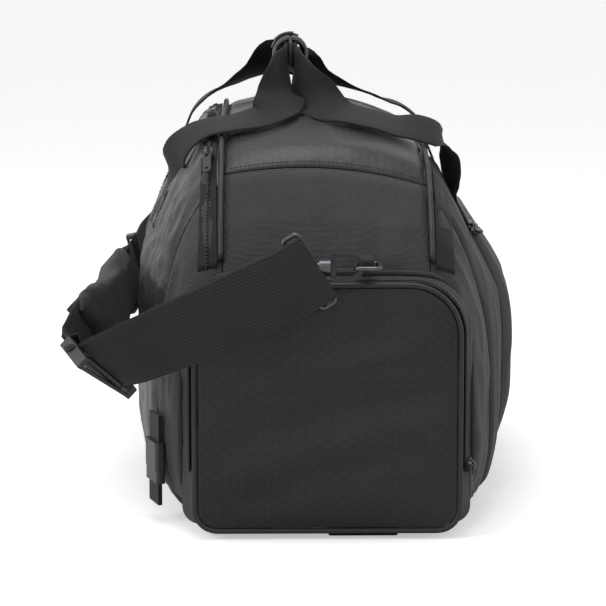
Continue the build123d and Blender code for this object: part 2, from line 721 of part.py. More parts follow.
pad_line = [
    (at(-168, -256, 150), (0.4, 0.25, -0.88)),
    (at(-164, -225, 151), (0.3, 0.1, -0.95)),
    (at(-160, -150, 150), (0.2, 0, -0.98)),
    (at(-160, -60, 149), (0.2, 0, -0.98)),
    (at(-156, 40, 145), (0.2, 0, -0.98)),
]
pad_stations = [(point, across, pad_width, pad_thick) for point, across in pad_line]
save(ribbon(pad_stations), "shoulder_pad")
single = (strap_width, strap_thick)
pad_points = [Vector(*point) for point, _ in pad_line]
pad_run = (pad_points[1] - pad_points[0]).normalized()
pad_out = (pad_points[-1] - pad_points[-2]).normalized()
to_pad = ribbon([(tuple(web_end + slider_run * gap), tuple(slider_w), *single),
                 (tuple(web_end + slider_run * 2.5), tuple(slider_w), *single),
                 (tuple(pad_points[0] - pad_run * 3), pad_line[0][1], *single),
                 (tuple(pad_points[0] - pad_run * gap), pad_line[0][1], *single)])
save(Compound(children=[strap_near.part, to_pad]), "strap_near")
far_line = [
    (tuple(pad_points[-1] + pad_out * gap), (0.2, 0, -0.98)),
    (tuple(pad_points[-1] + pad_out * 4), (0.2, 0, -0.98)),
    (at(-153, 75, 143), (0.2, 0, -0.98)),
    (at(-150, 140, 143), (0.2, 0, -0.98)),
    (at(-142, 205, 150), (0.25, -0.05, -0.96)),
    (at(-118, 262, 164), (0.35, -0.1, -0.93)),
    (at(-80, 297, 178), (0.45, -0.05, -0.88)),
    (at(-52, 300, 183), w_end),
    ((clear.X, swing_y + 3, clear.Z), w_end),
    ((start.X, swing_y, start.Z), w_end),
]
with BuildPart() as strap_far:
    add(turn_round(1))
    add(ribbon([(point, across, *single) for point, across in far_line]))
save(strap_far.part, "strap_far")


def web_frame(at, along, out, long, rail, tall, bars):
    """A slider's frame round webbing that runs along at `at`: two rails joined by bars (along, height)."""
    plane = Plane(at, x_dir=along, z_dir=out)
    inside = strap_width / 2 + 2 * gap
    with BuildPart() as frame:
        with BuildSketch(plane):
            for side in (-1, 1):
                with Locations((0, side * (inside + rail / 2))):
                    RectangleRounded(long, rail, 1.5)
        extrude(amount=tall / 2, both=True)
        for where, height in bars:
            with BuildSketch(plane.offset(height)):
                with Locations((where, 0)):
                    Rectangle(3.4, 2 * inside + rail)
            extrude(amount=1.1, both=True)
    return frame.part


below, above = -(double_thick / 2 + 1.1 + gap), double_thick / 2 + 1.1 + gap
ends_at = slider_long / 2 - 2.2
save(web_frame(tuple(slider_at), tuple(slider_run), tuple(slider_n), slider_long, slider_rail, slider_tall,
               ((-ends_at, below), (0, above), (ends_at, below))), "ladder_slider")
print("ladder", slider_run, slider_n)
keeper_run = (Vector(*at(-150, 140, 143)) - Vector(*at(-153, 75, 143))).normalized()
keeper_out = Vector(-0.98, 0, -0.2)
keeper_out = (keeper_out - keeper_run * keeper_out.dot(keeper_run)).normalized()
keeper_gap = strap_thick / 2 + 1.1 + 3 * gap
save(web_frame(at(-151.5, 107.5, 143), tuple(keeper_run), tuple(keeper_out), 16.0, 4.0, 7.0,
               ((-5.5, -keeper_gap), (0, keeper_gap), (5.5, -keeper_gap))), "strap_keeper")

# ---------------------------------------------------------------- side buckle
buckle_y = 35.0 - body_end
buckle_z = 50.0
buckle_wide = 30.0
buckle_tall = 20.0
buckle_deep = 8.0
plug_tall = 10.0
tongue_wide = 19.0
tongue_deep = 3.6
tongue_in = 11.0
buckle_top = buckle_z + buckle_tall / 2
buckle_ends = [buckle_y + n * buckle_wide / 2 for n in (-1, 1)]
edge_a, edge_b = (Vector(-side_x(y, buckle_top, -1), y, 0) for y in buckle_ends)
run_y = (edge_b - edge_a).normalized()
out_x = Vector(-run_y.Y, run_y.X, 0)
buckle_at = (edge_a + edge_b) / 2 + out_x * (buckle_deep / 2 + 0.5) + Vector(0, 0, buckle_z)
flat_plane = Plane(buckle_at, x_dir=run_y, z_dir=(0, 0, 1))  # x along the bag's side, y into it
with BuildPart() as socket:
    with BuildSketch(flat_plane.offset(-buckle_tall / 2)):
        RectangleRounded(buckle_wide, buckle_deep, 2.6)
    extrude(amount=buckle_tall)
    with BuildSketch(flat_plane.offset(-buckle_tall / 2)):
        Rectangle(tongue_wide + 4 * gap, tongue_deep + 2 * gap)
    extrude(amount=buckle_tall - 3, mode=Mode.SUBTRACT)
save(socket.part, "buckle_socket")
with BuildPart() as plug:
    with BuildSketch(flat_plane.offset(-buckle_tall / 2 - gap - plug_tall)):
        RectangleRounded(buckle_wide, buckle_deep - 1, 2.2)
    extrude(amount=plug_tall)
    with BuildSketch(flat_plane.offset(-buckle_tall / 2 - gap - plug_tall / 2)):
        RectangleRounded(tongue_wide, tongue_deep, 1.2)
    extrude(amount=plug_tall / 2 + gap + tongue_in)
save(plug.part, "buckle_plug")
buckle_web = 25.0
with BuildPart() as web_upper:
    with BuildSketch(flat_plane.offset(buckle_tall / 2 + gap)):
        Rectangle(buckle_web, tape_thick + 1)
    extrude(amount=20)
    add(outer, mode=Mode.SUBTRACT)
save(web_upper.part, "buckle_web_upper")
with BuildPart() as web_lower:
    with BuildSketch(flat_plane.offset(-buckle_tall / 2 - 2 * gap - plug_tall)):
        Rectangle(buckle_web, 3 * tape_thick)
    extrude(amount=-16)
save(web_lower.part, "buckle_web_lower")

print("fold", up_side(anchor_z, 1.5, -1, -1)[0][0], up_side(anchor_z, 1.5, 1, -1)[0][0], "ring", ring_mid, ring_bar_y,
      swing_y, "gate", gate_pin, gate_z, "buckle", buckle_at, run_y)

# two webbing stubs sewn into the base seam under the near end
with BuildPart() as stubs:
    for x, tip in ((-64, 5.0), (26, 1.2)):
        add(ribbon([(at(x, y, z), (1, 0, 0), strap_width, strap_thick)
                    for y, z in ((-212, 1.2), (-236, (1.2 + tip) / 2), (-260, tip))]))
save(stubs.part, "base_stubs")
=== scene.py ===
# %% [markdown]
# # Dressing a duffel bag
# The rigid model of the bag is already built. This lesson dresses it: sewn panels that puff and
# crease, piping, zips with teeth, webbing that bends and twists, and a padded shoulder strap.
# Every piece keeps the place and size that the model gives.

# %% Load the frame and keep its size
import bmesh
import bpy
import math
from mathutils import Matrix, Vector, noise
from mathutils.bvhtree import BVHTree


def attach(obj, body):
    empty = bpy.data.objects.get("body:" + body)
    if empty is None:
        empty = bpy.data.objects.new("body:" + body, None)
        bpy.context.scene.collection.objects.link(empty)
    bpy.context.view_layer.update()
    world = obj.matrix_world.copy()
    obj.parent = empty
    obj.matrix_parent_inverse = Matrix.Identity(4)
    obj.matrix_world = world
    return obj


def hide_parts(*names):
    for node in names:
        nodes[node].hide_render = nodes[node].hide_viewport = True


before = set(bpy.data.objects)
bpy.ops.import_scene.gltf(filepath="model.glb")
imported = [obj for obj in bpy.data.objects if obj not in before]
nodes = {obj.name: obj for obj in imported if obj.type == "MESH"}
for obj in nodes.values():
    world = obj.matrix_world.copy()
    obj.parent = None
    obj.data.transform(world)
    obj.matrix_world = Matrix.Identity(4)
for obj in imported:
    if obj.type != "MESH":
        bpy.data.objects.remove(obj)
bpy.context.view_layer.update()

# %% [markdown]
# The camera comes first, because everything is judged through it. A short lens close by would
# swell the near end of the bag. A long lens from two metres away keeps its sides almost parallel.
# It looks a little down, so that the top shows as a low arch.

# %% Camera
camera_data = bpy.data.cameras.new("camera")
camera_data.sensor_width = 36.0
camera_data.lens = 161.6
camera = bpy.data.objects.new("camera", camera_data)
bpy.context.scene.collection.objects.link(camera)
camera.location = (-0.045, -2.17, 0.467)
camera.rotation_euler = (math.radians(90 - 8.84), 0, math.radians(-0.83))
bpy.context.scene.camera = camera
print("camera", tuple(round(c, 3) for c in camera.location), "lens", camera_data.lens)

# %% [markdown]
# The bag stands in a pale studio. A bright world would do for a room, but it would also wash out
# black cloth. So the world lights the bag at less than half of white, and Light Path shows it as
# white only to the camera and to reflections.

# %% Room
scene = bpy.context.scene
scene.view_settings.view_transform = "Standard"
world = bpy.data.worlds.new("room")
scene.world = world
world.use_nodes = True
sky = world.node_tree.nodes
sky_links = world.node_tree.links
sky.clear()
seen = sky.new("ShaderNodeLightPath")
either = sky.new("ShaderNodeMath")
either.operation = "MAXIMUM"
shown = sky.new("ShaderNodeBackground")
shown.inputs["Color"].default_value = (0.985, 0.985, 0.985, 1)
lit = sky.new("ShaderNodeBackground")
lit.inputs["Color"].default_value = (1.0, 1.0, 1.0, 1)
lit.inputs["Strength"].default_value = 0.45
choose = sky.new("ShaderNodeMixShader")
room_out = sky.new("ShaderNodeOutputWorld")
sky_links.new(seen.outputs["Is Camera Ray"], either.inputs[0])
sky_links.new(seen.outputs["Is Glossy Ray"], either.inputs[1])
sky_links.new(either.outputs[0], choose.inputs[0])
sky_links.new(lit.outputs[0], choose.inputs[1])
sky_links.new(shown.outputs[0], choose.inputs[2])
sky_links.new(choose.outputs[0], room_out.inputs["Surface"])
print("room lit at", lit.inputs["Strength"].default_value)

# %% [markdown]
# Coated cloth shows its folds by broad soft highlights. Point lamps would make hard spots, so the
# lamps are wide squares: the strongest above, one at the left for the sheen there, and a weak one
# at the right that opens the shadows.

# %% Lamps
def soft_lamp(name, place, aim, size, power):
    """A square area lamp that looks from place towards aim."""
    lamp_data = bpy.data.lights.new(name, "AREA")
    lamp_data.size = size
    lamp_data.energy = power
    lamp = bpy.data.objects.new(name, lamp_data)
    lamp.location = place
    lamp.rotation_euler = (Vector(aim) - Vector(place)).to_track_quat("-Z", "Y").to_euler()
    scene.collection.objects.link(lamp)
    return lamp


soft_lamp("lamp_left", (-1.6, -0.9, 1.1), (0, 0, 0.15), 0.8, 12)
soft_lamp("lamp_right", (1.7, -0.7, 0.9), (0, 0, 0.15), 1.0, 2)
soft_lamp("lamp_above", (-0.1, -0.2, 1.9), (0, 0, 0.2), 0.9, 14)

print("lamps placed")

# %% [markdown]
# The floor is one wide pale plane. A shadow catcher or a brighter lamp could hide its edge, but a
# glow that only the camera sees is simpler: the floor turns as pale as the room, keeps the bag's
# shadow and adds no light to the bag.

# %% Floor
bpy.ops.object.select_all(action="DESELECT")
bpy.ops.mesh.primitive_plane_add(size=60, location=(0, 0, 0))
floor = bpy.context.object
floor.name = "floor"
floor_paint = bpy.data.materials.new("floor_paint")
floor_paint.use_nodes = True
floor_nodes, floor_links = floor_paint.node_tree.nodes, floor_paint.node_tree.links
floor_shader = floor_nodes["Principled BSDF"]
floor_shader.inputs["Base Color"].default_value = (0.93, 0.93, 0.93, 1)
floor_shader.inputs["Roughness"].default_value = 0.9
floor_shader.inputs["Emission Color"].default_value = (1, 1, 1, 1)
glow = floor_nodes.new("ShaderNodeLightPath")
viewed = floor_nodes.new("ShaderNodeMath")
viewed.operation = "MULTIPLY"
viewed.inputs[1].default_value = 0.46
floor_links.new(glow.outputs["Is Camera Ray"], viewed.inputs[0])
floor_links.new(viewed.outputs[0], floor_shader.inputs["Emission Strength"])
floor.data.materials.append(floor_paint)
print("floor laid")

# %% [markdown]
# Small helpers come next. `smooth` eases a number from 0 to 1 between two limits, and most folds
# and pinches below are made of it. `spline_point` and `paced` walk along a line, for webbing,
# stitches and teeth.

# %% Easing and resampling
def smooth(low, high, value):
    """0 below low, 1 above high, and an S curve between them."""
    t = min(max((value - low) / (high - low), 0.0), 1.0)
    return t * t * (3 - 2 * t)


def spline_point(points, t):
    """The point at t (0 to 1) on a Catmull-Rom curve through points."""
    n = len(points) - 1
    k = min(int(t * n), n - 1)
    f = t * n - k
    p0, p1 = points[max(k - 1, 0)], points[k]
    p2, p3 = points[k + 1], points[min(k + 2, n)]
    return 0.5 * (2 * p1 + (p2 - p0) * f + (2 * p0 - 5 * p1 + 4 * p2 - p3) * f ** 2
                  + (3 * p1 - p0 - 3 * p2 + p3) * f ** 3)


def paced(points, step):
    """Points and directions every step metres along a line of points."""
    out, left = [], 0.0
    for a, b in zip(points, points[1:]):
        run = (b - a).length
        if run < 1e-9:
            continue
        way = (b - a) / run
        at = left
        while at < run:
            out.append((a + way * at, way))
            at += step
        left = at - run
    return out


print("helpers ready")

# %% [markdown]
# ## Finishes
# Black cloth is never one flat colour. Each finish mixes a large soft mottling with the fine
# pattern of its own weave, and the same pattern lifts the surface a little. A material starts from
# its shader, where every number that is the same all over is typed straight into the socket.

# %% Start a finish
def start_finish(name, colour, roughness, sheen=0.0, coat=0.0, metal=0.0, shine=0.5):
    """A new material with its shader and its coordinates."""
    finish = bpy.data.materials.new(name)
    finish.use_nodes = True
    shader = finish.node_tree.nodes["Principled BSDF"]
    shader.inputs["Base Color"].default_value = (*colour, 1)
    shader.inputs["Roughness"].default_value = roughness
    shader.inputs["Sheen Weight"].default_value = sheen
    shader.inputs["Sheen Roughness"].default_value = 0.45
    shader.inputs["Coat Weight"].default_value = coat
    shader.inputs["Metallic"].default_value = metal
    shader.inputs["Specular IOR Level"].default_value = shine
    return finish, shader


def add_node(finish, kind, **settings):
    """A node with its properties and unlinked inputs set by name."""
    node = finish.node_tree.nodes.new(kind)
    for key, value in settings.items():
        if hasattr(node, key):
            setattr(node, key, value)
        else:
            node.inputs[key.replace("_", " ")].default_value = value
    return node


def wire(finish, *pairs):
    """Link each source socket to its target."""
    for source, target in pairs:
        finish.node_tree.links.new(source, target)


def math_node(finish, operation, a, b=None):
    """A Math node fed by sockets or numbers."""
    node = finish.node_tree.nodes.new("ShaderNodeMath")
    node.operation = operation
    for slot, value in ((0, a), (1, b)):
        if value is None:
            continue
        if isinstance(value, (int, float)):
            node.inputs[slot].default_value = value
        else:
            finish.node_tree.links.new(value, node.inputs[slot])
    return node.outputs[0]


print("shader helpers ready")

# %% [markdown]
# The patterns are sums and products of waves and noise. Few words are enough to write them: a sum
# with shares, noise over the coordinates, a ramp of two colours, and a bump with a height in metres.

# %% Patterns, colour and bump
def mix_of(finish, *parts):
    """The sum of sockets, each times its share."""
    total = None
    for socket, share in parts:
        part = math_node(finish, "MULTIPLY", socket, share)
        total = part if total is None else math_node(finish, "ADD", total, part)
    return total


def speckle(finish, coords, **settings):
    """Noise over the coordinates."""
    noise_node = add_node(finish, "ShaderNodeTexNoise", **settings)
    wire(finish, (coords, noise_node.inputs["Vector"]))
    return noise_node.outputs[0]


def tint(finish, factor, dark, pale):
    """A two-colour ramp driven by factor."""
    ramp = finish.node_tree.nodes.new("ShaderNodeValToRGB")
    ramp.color_ramp.elements[0].position, ramp.color_ramp.elements[1].position = 0.28, 0.72
    ramp.color_ramp.elements[0].color = (*dark, 1)
    ramp.color_ramp.elements[1].color = (*pale, 1)
    finish.node_tree.links.new(factor, ramp.inputs[0])
    return ramp.outputs[0]


def lift(finish, shader, height, depth, below=None):
    """Raise the surface by height (0 to 1) times depth in metres."""
    bump = finish.node_tree.nodes.new("ShaderNodeBump")
    bump.inputs["Strength"].default_value = 1.0
    bump.inputs["Distance"].default_value = depth
    finish.node_tree.links.new(height, bump.inputs["Height"])
    if below is not None:
        finish.node_tree.links.new(below, bump.inputs["Normal"])
    finish.node_tree.links.new(bump.outputs[0], shader.inputs["Normal"])
    return bump.outputs[0]


print("pattern helpers ready")

# %% [markdown]
# The upper ends and the corners are ballistic nylon, a plain weave of thick flat yarns. An image
# of cloth would need a UV map and blur up close. On a surface that faces any way, products of sine
# waves along the three axes give the over-and-under squares with neither.

# %% Woven nylon
def waves(finish, coords, pitch):
    """Sine waves along x, y and z with the given pitch in metres."""
    apart = add_node(finish, "ShaderNodeSeparateXYZ")
    wire(finish, (coords, apart.inputs[0]))
    turn = 2 * math.pi / pitch
    return [math_node(finish, "SINE", math_node(finish, "MULTIPLY", out, turn)) for out in apart.outputs]


def woven_finish(name, dark, pale, roughness, pitch, depth, sheen=0.25):
    """Plain weave with yarns pitch metres apart, over a mottled colour."""
    finish, shader = start_finish(name, dark, roughness, sheen=sheen, shine=0.22)
    coords = add_node(finish, "ShaderNodeTexCoord").outputs["Object"]
    x, y, z = waves(finish, coords, pitch)
    pairs = [math_node(finish, "MULTIPLY", a, b) for a, b in ((x, y), (y, z), (z, x))]
    weave = math_node(finish, "ADD", math_node(finish, "ADD", pairs[0], pairs[1]), pairs[2])
    weave = math_node(finish, "ADD", math_node(finish, "MULTIPLY", weave, 0.3), 0.5)
    mottle = speckle(finish, coords, Scale=14.0, Detail=5.0, Roughness=0.6)
    fleck = speckle(finish, coords, Scale=900.0, Detail=2.0)
    mixed = mix_of(finish, (weave, 0.45), (mottle, 0.4), (fleck, 0.25))
    wire(finish, (tint(finish, mixed, dark, pale), shader.inputs["Base Color"]))
    height = math_node(finish, "ADD", weave, math_node(finish, "MULTIPLY", fleck, 0.4))
    lift(finish, shader, height, depth)
    return finish


ballistic = woven_finish("ballistic_nylon", (0.012, 0.012, 0.014), (0.050, 0.050, 0.057),
                         0.60, 0.0019, 0.0004, 0.12)
lining = woven_finish("lining_cloth", (0.012, 0.012, 0.013), (0.026, 0.026, 0.028),
                      0.75, 0.0012, 0.00012, 0.05)
print("woven:", ballistic.name, lining.name)

# %% [markdown]
# The end panels, the top and the long sides are coated cloth. It is smoother and shinier, and a
# faint honeycomb is pressed into it. An image could hold that grid, but three cosine waves at 60
# degrees to each other add up to it at any size, and never blur.

# %% Coated cloth with a pressed honeycomb
def honeycomb(finish, across, up, cell):
    """0 to 1, high in the middle of each six-sided cell."""
    turn = 2 * math.pi / (cell * 0.866)
    total = None
    for angle in (0, 60, 120):
        c, s = math.cos(math.radians(angle)), math.sin(math.radians(angle))
        way = math_node(finish, "ADD", math_node(finish, "MULTIPLY", across, c * turn),
                        math_node(finish, "MULTIPLY", up, s * turn))
        wave = math_node(finish, "COSINE", way)
        total = wave if total is None else math_node(finish, "ADD", total, wave)
    return math_node(finish, "MULTIPLY", math_node(finish, "ADD", total, 1.5), 0.22)


def coated_finish(name, dark, pale, roughness, axes, cell=0.007, press=0.0001, crease=0.0006):
    """Coated cloth; the honeycomb lies in the plane of two axes, and soft creases run below it."""
    finish, shader = start_finish(name, dark, roughness, sheen=0.03, coat=0.04, shine=0.3)
    shader.inputs["Coat Roughness"].default_value = 0.45
    coords = add_node(finish, "ShaderNodeTexCoord").outputs["Object"]
    apart = add_node(finish, "ShaderNodeSeparateXYZ")
    wire(finish, (coords, apart.inputs[0]))
    cells = honeycomb(finish, apart.outputs[axes[0]], apart.outputs[axes[1]], cell)
    mottle = speckle(finish, coords, Scale=9.0, Detail=6.0, Roughness=0.62)
    grain = speckle(finish, coords, Scale=1500.0, Detail=2.0)
    folds = speckle(finish, coords, Scale=26.0, Detail=4.0, Distortion=0.6)
    mixed = mix_of(finish, (mottle, 0.6), (cells, 0.2), (grain, 0.2))
    wire(finish, (tint(finish, mixed, dark, pale), shader.inputs["Base Color"]))
    soft = lift(finish, shader, folds, crease)
    fine = math_node(finish, "ADD", cells, math_node(finish, "MULTIPLY", grain, 0.35))
    lift(finish, shader, fine, press, below=soft)
    return finish


X, Y, Z = 0, 1, 2
coated_end = coated_finish("coated_cloth_end", (0.007, 0.007, 0.008), (0.020, 0.020, 0.022), 0.36, (X, Z))
# Painted shade: the pocket and the right side get coated cloth painted darker than the left side's, for the
# shade on the right of the bag.
pocket_cloth = coated_finish("pocket_cloth", (0.005, 0.005, 0.006), (0.014, 0.014, 0.015), 0.65, (Y, Z),
                             crease=0.0009)
coated_top = coated_finish("coated_cloth_top", (0.014, 0.014, 0.016), (0.036, 0.036, 0.040), 0.42, (X, Y))
# The left side's coated cloth is painted paler than the same cloth on the top and ends: painted sheen of the
# light from the left.
coated_side_painted_sheen = coated_finish("coated_cloth_side", (0.018, 0.018, 0.020), (0.042, 0.042, 0.046), 0.38, (Y, Z),
                            crease=0.0011)
print("coated:", coated_end.name, coated_side_painted_sheen.name)

# %% [markdown]
# Webbing and zip tape are woven as long ribs. A pattern in space would cut across them wherever
# they turn. So their pieces carry a UV map measured in metres, u along the ribbon and v across it,
# and the ribs follow every bend and twist.

# %% Ribbed webbing
def ribbed_finish(name, dark, pale, roughness, rib, pick, depth, sheen=0.06):
    """rib is the spacing of the ribs across the ribbon, pick that of the threads along it."""
    finish, shader = start_finish(name, dark, roughness, sheen=sheen, shine=0.15)
    coords = add_node(finish, "ShaderNodeTexCoord").outputs["UV"]
    apart = add_node(finish, "ShaderNodeSeparateXYZ")
    wire(finish, (coords, apart.inputs[0]))
    along, over = apart.outputs[0], apart.outputs[1]
    ribs = math_node(finish, "SINE", math_node(finish, "MULTIPLY", over, 2 * math.pi / rib))
    slant = math_node(finish, "ADD", math_node(finish, "MULTIPLY", along, 2 * math.pi / pick),
                      math_node(finish, "MULTIPLY", ribs, 0.9))
    picks = math_node(finish, "SINE", slant)
    weave = math_node(finish, "ADD", mix_of(finish, (ribs, 0.3), (picks, 0.2)), 0.5)
    place = add_node(finish, "ShaderNodeTexCoord").outputs["Object"]
    mottle = speckle(finish, place, Scale=22.0, Detail=5.0, Roughness=0.6)
    fuzz = speckle(finish, place, Scale=1200.0, Detail=2.0)
    mixed = mix_of(finish, (weave, 0.4), (mottle, 0.35), (fuzz, 0.3))
    wire(finish, (tint(finish, mixed, dark, pale), shader.inputs["Base Color"]))
    height = math_node(finish, "ADD", weave, math_node(finish, "MULTIPLY", fuzz, 0.3))
    lift(finish, shader, height, depth)
    return finish


strap_webbing = ribbed_finish("strap_webbing", (0.012, 0.012, 0.014), (0.034, 0.034, 0.038),
                              0.6, 0.0024, 0.0016, 0.0003)
handle_webbing = ribbed_finish("handle_webbing", (0.007, 0.008, 0.009), (0.022, 0.023, 0.026),
                               0.62, 0.0022, 0.0016, 0.0003)
zip_tape = ribbed_finish("zip_tape_cloth", (0.008, 0.008, 0.009), (0.024, 0.024, 0.026),
                         0.65, 0.0012, 0.0012, 0.0002)
print("ribbed:", strap_webbing.name, handle_webbing.name, zip_tape.name)

# %% [markdown]
# Piping is a cord in a smooth coated sleeve, and hooks, rings and buckles are moulded or cast. All
# of them are plain at first sight. Fine specks in the colour, the roughness and the height keep
# them from looking like new glass.

# %% Plastics, cord and metal
def plain_finish(name, dark, pale, roughness, grain, depth, metal=0.0):
    """A smooth finish with specks of the given grain, which also roughen it unevenly."""
    finish, shader = start_finish(name, dark, roughness, metal=metal)
    coords = add_node(finish, "ShaderNodeTexCoord").outputs["Object"]
    mottle = speckle(finish, coords, Scale=60.0, Detail=4.0)
    specks = speckle(finish, coords, Scale=grain, Detail=3.0)
    mixed = mix_of(finish, (mottle, 0.6), (specks, 0.4))
    wire(finish, (tint(finish, mixed, dark, pale), shader.inputs["Base Color"]))
    rough = math_node(finish, "ADD", math_node(finish, "MULTIPLY", specks, 0.25), roughness - 0.12)
    wire(finish, (rough, shader.inputs["Roughness"]))
    lift(finish, shader, specks, depth)
    return finish


piping_sleeve = plain_finish("piping_sleeve", (0.004, 0.004, 0.005), (0.012, 0.012, 0.013),
                             0.55, 1600.0, 0.0001)
moulded = plain_finish("moulded_plastic", (0.014, 0.014, 0.016), (0.030, 0.030, 0.033), 0.42, 900.0, 0.00005)
coil_plastic = plain_finish("coil_plastic", (0.010, 0.010, 0.011), (0.026, 0.026, 0.028), 0.4, 900.0, 0.00004)
gunmetal = plain_finish("gunmetal", (0.030, 0.030, 0.033), (0.075, 0.075, 0.080),
                        0.40, 400.0, 0.00003, metal=1.0)
bright_wire = plain_finish("bright_wire", (0.05, 0.05, 0.053), (0.15, 0.15, 0.16),
                           0.32, 300.0, 0.00002, metal=1.0)
rubber_tab = plain_finish("rubber_tab", (0.040, 0.040, 0.034), (0.085, 0.085, 0.072), 0.7, 700.0, 0.0001)
print("plain finishes ready")

# %% [markdown]
# ## The sewn body
# A bag is a loft that sags. It could be sculpted as one form, but the real one is cut and sewn, and
# its seams are what the eye reads. The rigid model gives the place of its skin. Each panel is a
# grid laid on that skin by casting rays from outside towards the middle, so it keeps its size.

# %% Find the skin
AXIS_Z = 0.100        # height of the middle of the body, where the rays aim
BODY_END = 0.2399     # the skin of the body reaches this far to both ends
PANEL_END = 0.2395    # and its cloth stops just before
RIM_Z = 0.0165        # height of the seam between the sides and the base
TOP_SEAM = 0.185      # place of the cross seams on the top
SIDE_SEAM = 0.195     # place of the seams between the sides and the corners
CLOTH = 0.0022        # thickness of the body's cloth
THIN_CLOTH = 0.0018   # thickness of walls, gussets and the pocket
UP, ALONG = Vector((0, 0, 1)), Vector((0, 1, 0))


def tree_of(meshes):
    """A tree of the faces of some meshes, to cast rays at."""
    corners, faces = [], []
    for mesh in meshes:
        first = len(corners)
        corners += [vert.co.copy() for vert in mesh.vertices]
        faces += [[first + i for i in face.vertices] for face in mesh.polygons]
    return BVHTree.FromPolygons(corners, faces)


BODY_PARTS = ("base_panel", "top_panel", "upper_end", "side_panel", "corner_panel", "end_wall")
body_skin = tree_of(part.data for name, part in nodes.items() if name.startswith(BODY_PARTS))


def hit(skin, start, way):
    """Where a ray first meets a skin, and the way out of it there."""
    point, normal, _, _ = skin.ray_cast(Vector(start), Vector(way).normalized())
    if point is None:
        return None, None
    return point, (normal if normal.dot(Vector(way)) < 0 else -normal)


print("skin of", sum(name.startswith(BODY_PARTS) for name in nodes), "nodes read")

# %% [markdown]
# A place on the body is given by its length y and a direction round the bag. The piping and the
# rim lie in other directions near the ends than in the middle, so they are measured at each y.

# %% Directions round the body
def within(y):
    """y, kept inside the body's length."""
    return max(min(y, BODY_END), -BODY_END)


def round_body(y, angle):
    """The skin at y, in the direction angle from straight up towards +X."""
    out = Vector((math.sin(angle), 0, math.cos(angle)))
    point, _ = hit(body_skin, Vector((0, within(y), AXIS_Z)) + out * 0.5, -out)
    return point, out


def edge_angle(y, side):
    """Direction of the top's piping at y."""
    point, _ = hit(body_skin, (side * 0.076, within(y), 0.6), (0, 0, -1))
    return math.atan2(point.x, point.z - AXIS_Z)


def rim_angle(y, side):
    """Direction of the seam between a side and the base at y."""
    point, _ = hit(body_skin, (side * 0.4, within(y), RIM_Z), (-side, 0, 0))
    return math.atan2(point.x, RIM_Z - AXIS_Z) % (2 * math.pi)


print("edge of the top at", round(math.degrees(edge_angle(0, 1)), 1), "degrees; rim at",
      round(math.degrees(rim_angle(0, 1)), 1))

# %% [markdown]
# Cloth that has been packed keeps its creases. Simulating every panel would be slow and hard to
# steer, so creases are noise: `ridges` gives the sharp lines of crumpled cloth, `swell` its soft
# rise and fall. Both can be drawn out along one axis.

# %% Creases
def ridges(point, stretch, size, sharp):
    """Crease noise from 0 to 1: sharp lines where the noise crosses zero."""
    return (1 - min(abs(swell(point, stretch, size)) * 2.2, 1.0)) ** sharp


def swell(point, stretch, size):
    """Soft noise from -1 to 1, drawn out along stretch."""
    at = Vector((point.x / stretch[0], point.y / stretch[1], point.z / stretch[2])) / size
    return noise.noise(at)


print("crease noise ready")

# %% [markdown]
# Blender's operators act on all that is selected. So before each step everything is deselected,
# and only the piece at hand is selected and made active. When a piece is done, it gets its
# material, its body and the rigid parts it stands for.

# %% Select and finish a piece
def deselect():
    """Leave edit mode and select nothing."""
    if bpy.context.object and bpy.context.object.mode != "OBJECT":
        bpy.ops.object.mode_set(mode="OBJECT")
    bpy.ops.object.select_all(action="DESELECT")


def only(piece):
    """Select one piece and make it the active one."""
    deselect()
    piece.select_set(True)
    bpy.context.view_layer.objects.active = piece


def finish_with(piece, material, slot, body, *replaced):
    """Give a piece its material, the body it rides on and the nodes it stands for; slot is not used."""
    piece.data.materials.clear()
    piece.data.materials.append(material)
    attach(piece, body)
    if replaced:
        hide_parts(*replaced)
    return piece


print("selection helpers ready")

# %% [markdown]
# A sewn panel is flat cloth that bends over the body. It starts from a plain grid with a UV map.
# Each corner of the grid is moved to its place on the skin, then in or out along the ray, and the
# UV map is scaled to metres.

# %% A panel from a grid
def grid_piece(name, place, across, along, closed=False):
    """A grid whose corner at (u, v) goes to place(u, v); its UV map is in metres."""
    deselect()
    bpy.ops.mesh.primitive_grid_add(x_subdivisions=across, y_subdivisions=along, size=1, calc_uvs=True)
    piece = bpy.context.object
    piece.name = piece.data.name = name
    mesh = piece.data
    spots = [(round(vert.co.x + 0.5, 6), round(vert.co.y + 0.5, 6)) for vert in mesh.vertices]
    for vert, (u, v) in zip(mesh.vertices, spots):
        vert.co = place(u, v)
    corners, row = [vert.co for vert in mesh.vertices], across + 1

    def run(first, jump, count):
        return sum((corners[first + (k + 1) * jump] - corners[first + k * jump]).length for k in range(count))

    wide = max(run(0, 1, across), run(along // 2 * row, 1, across))
    long = run(across // 2, row, along)
    layer = mesh.uv_layers.active.data
    for loop in mesh.loops:
        u, v = spots[loop.vertex_index]
        layer[loop.index].uv = (v * long, u * wide)
    if closed:
        only(piece)
        bpy.ops.object.mode_set(mode="EDIT")
        bpy.ops.mesh.select_all(action="SELECT")
        bpy.ops.mesh.remove_doubles(threshold=0.00005)
        bpy.ops.object.mode_set(mode="OBJECT")
    return piece


print("panels can be laid")

# %% [markdown]
# A grid has no thickness and may face inwards. Its faces are turned outwards first. Then Solidify
# gives the cloth its thickness towards the inside, and one level of subdivision rounds its
# creases. `pinch` tells how near a seam a point is, where stitches draw the cloth in.

# %% Thickness and seams
def face_out(piece, middle=(0, 0, AXIS_Z)):
    """Turn the faces so that most of them look away from middle."""
    only(piece)
    score = sum((face.center - Vector(middle)).dot(face.normal) * face.area for face in piece.data.polygons)
    if score < 0:
        bpy.ops.object.mode_set(mode="EDIT")
        bpy.ops.mesh.select_all(action="SELECT")
        bpy.ops.mesh.flip_normals()
        bpy.ops.object.mode_set(mode="OBJECT")


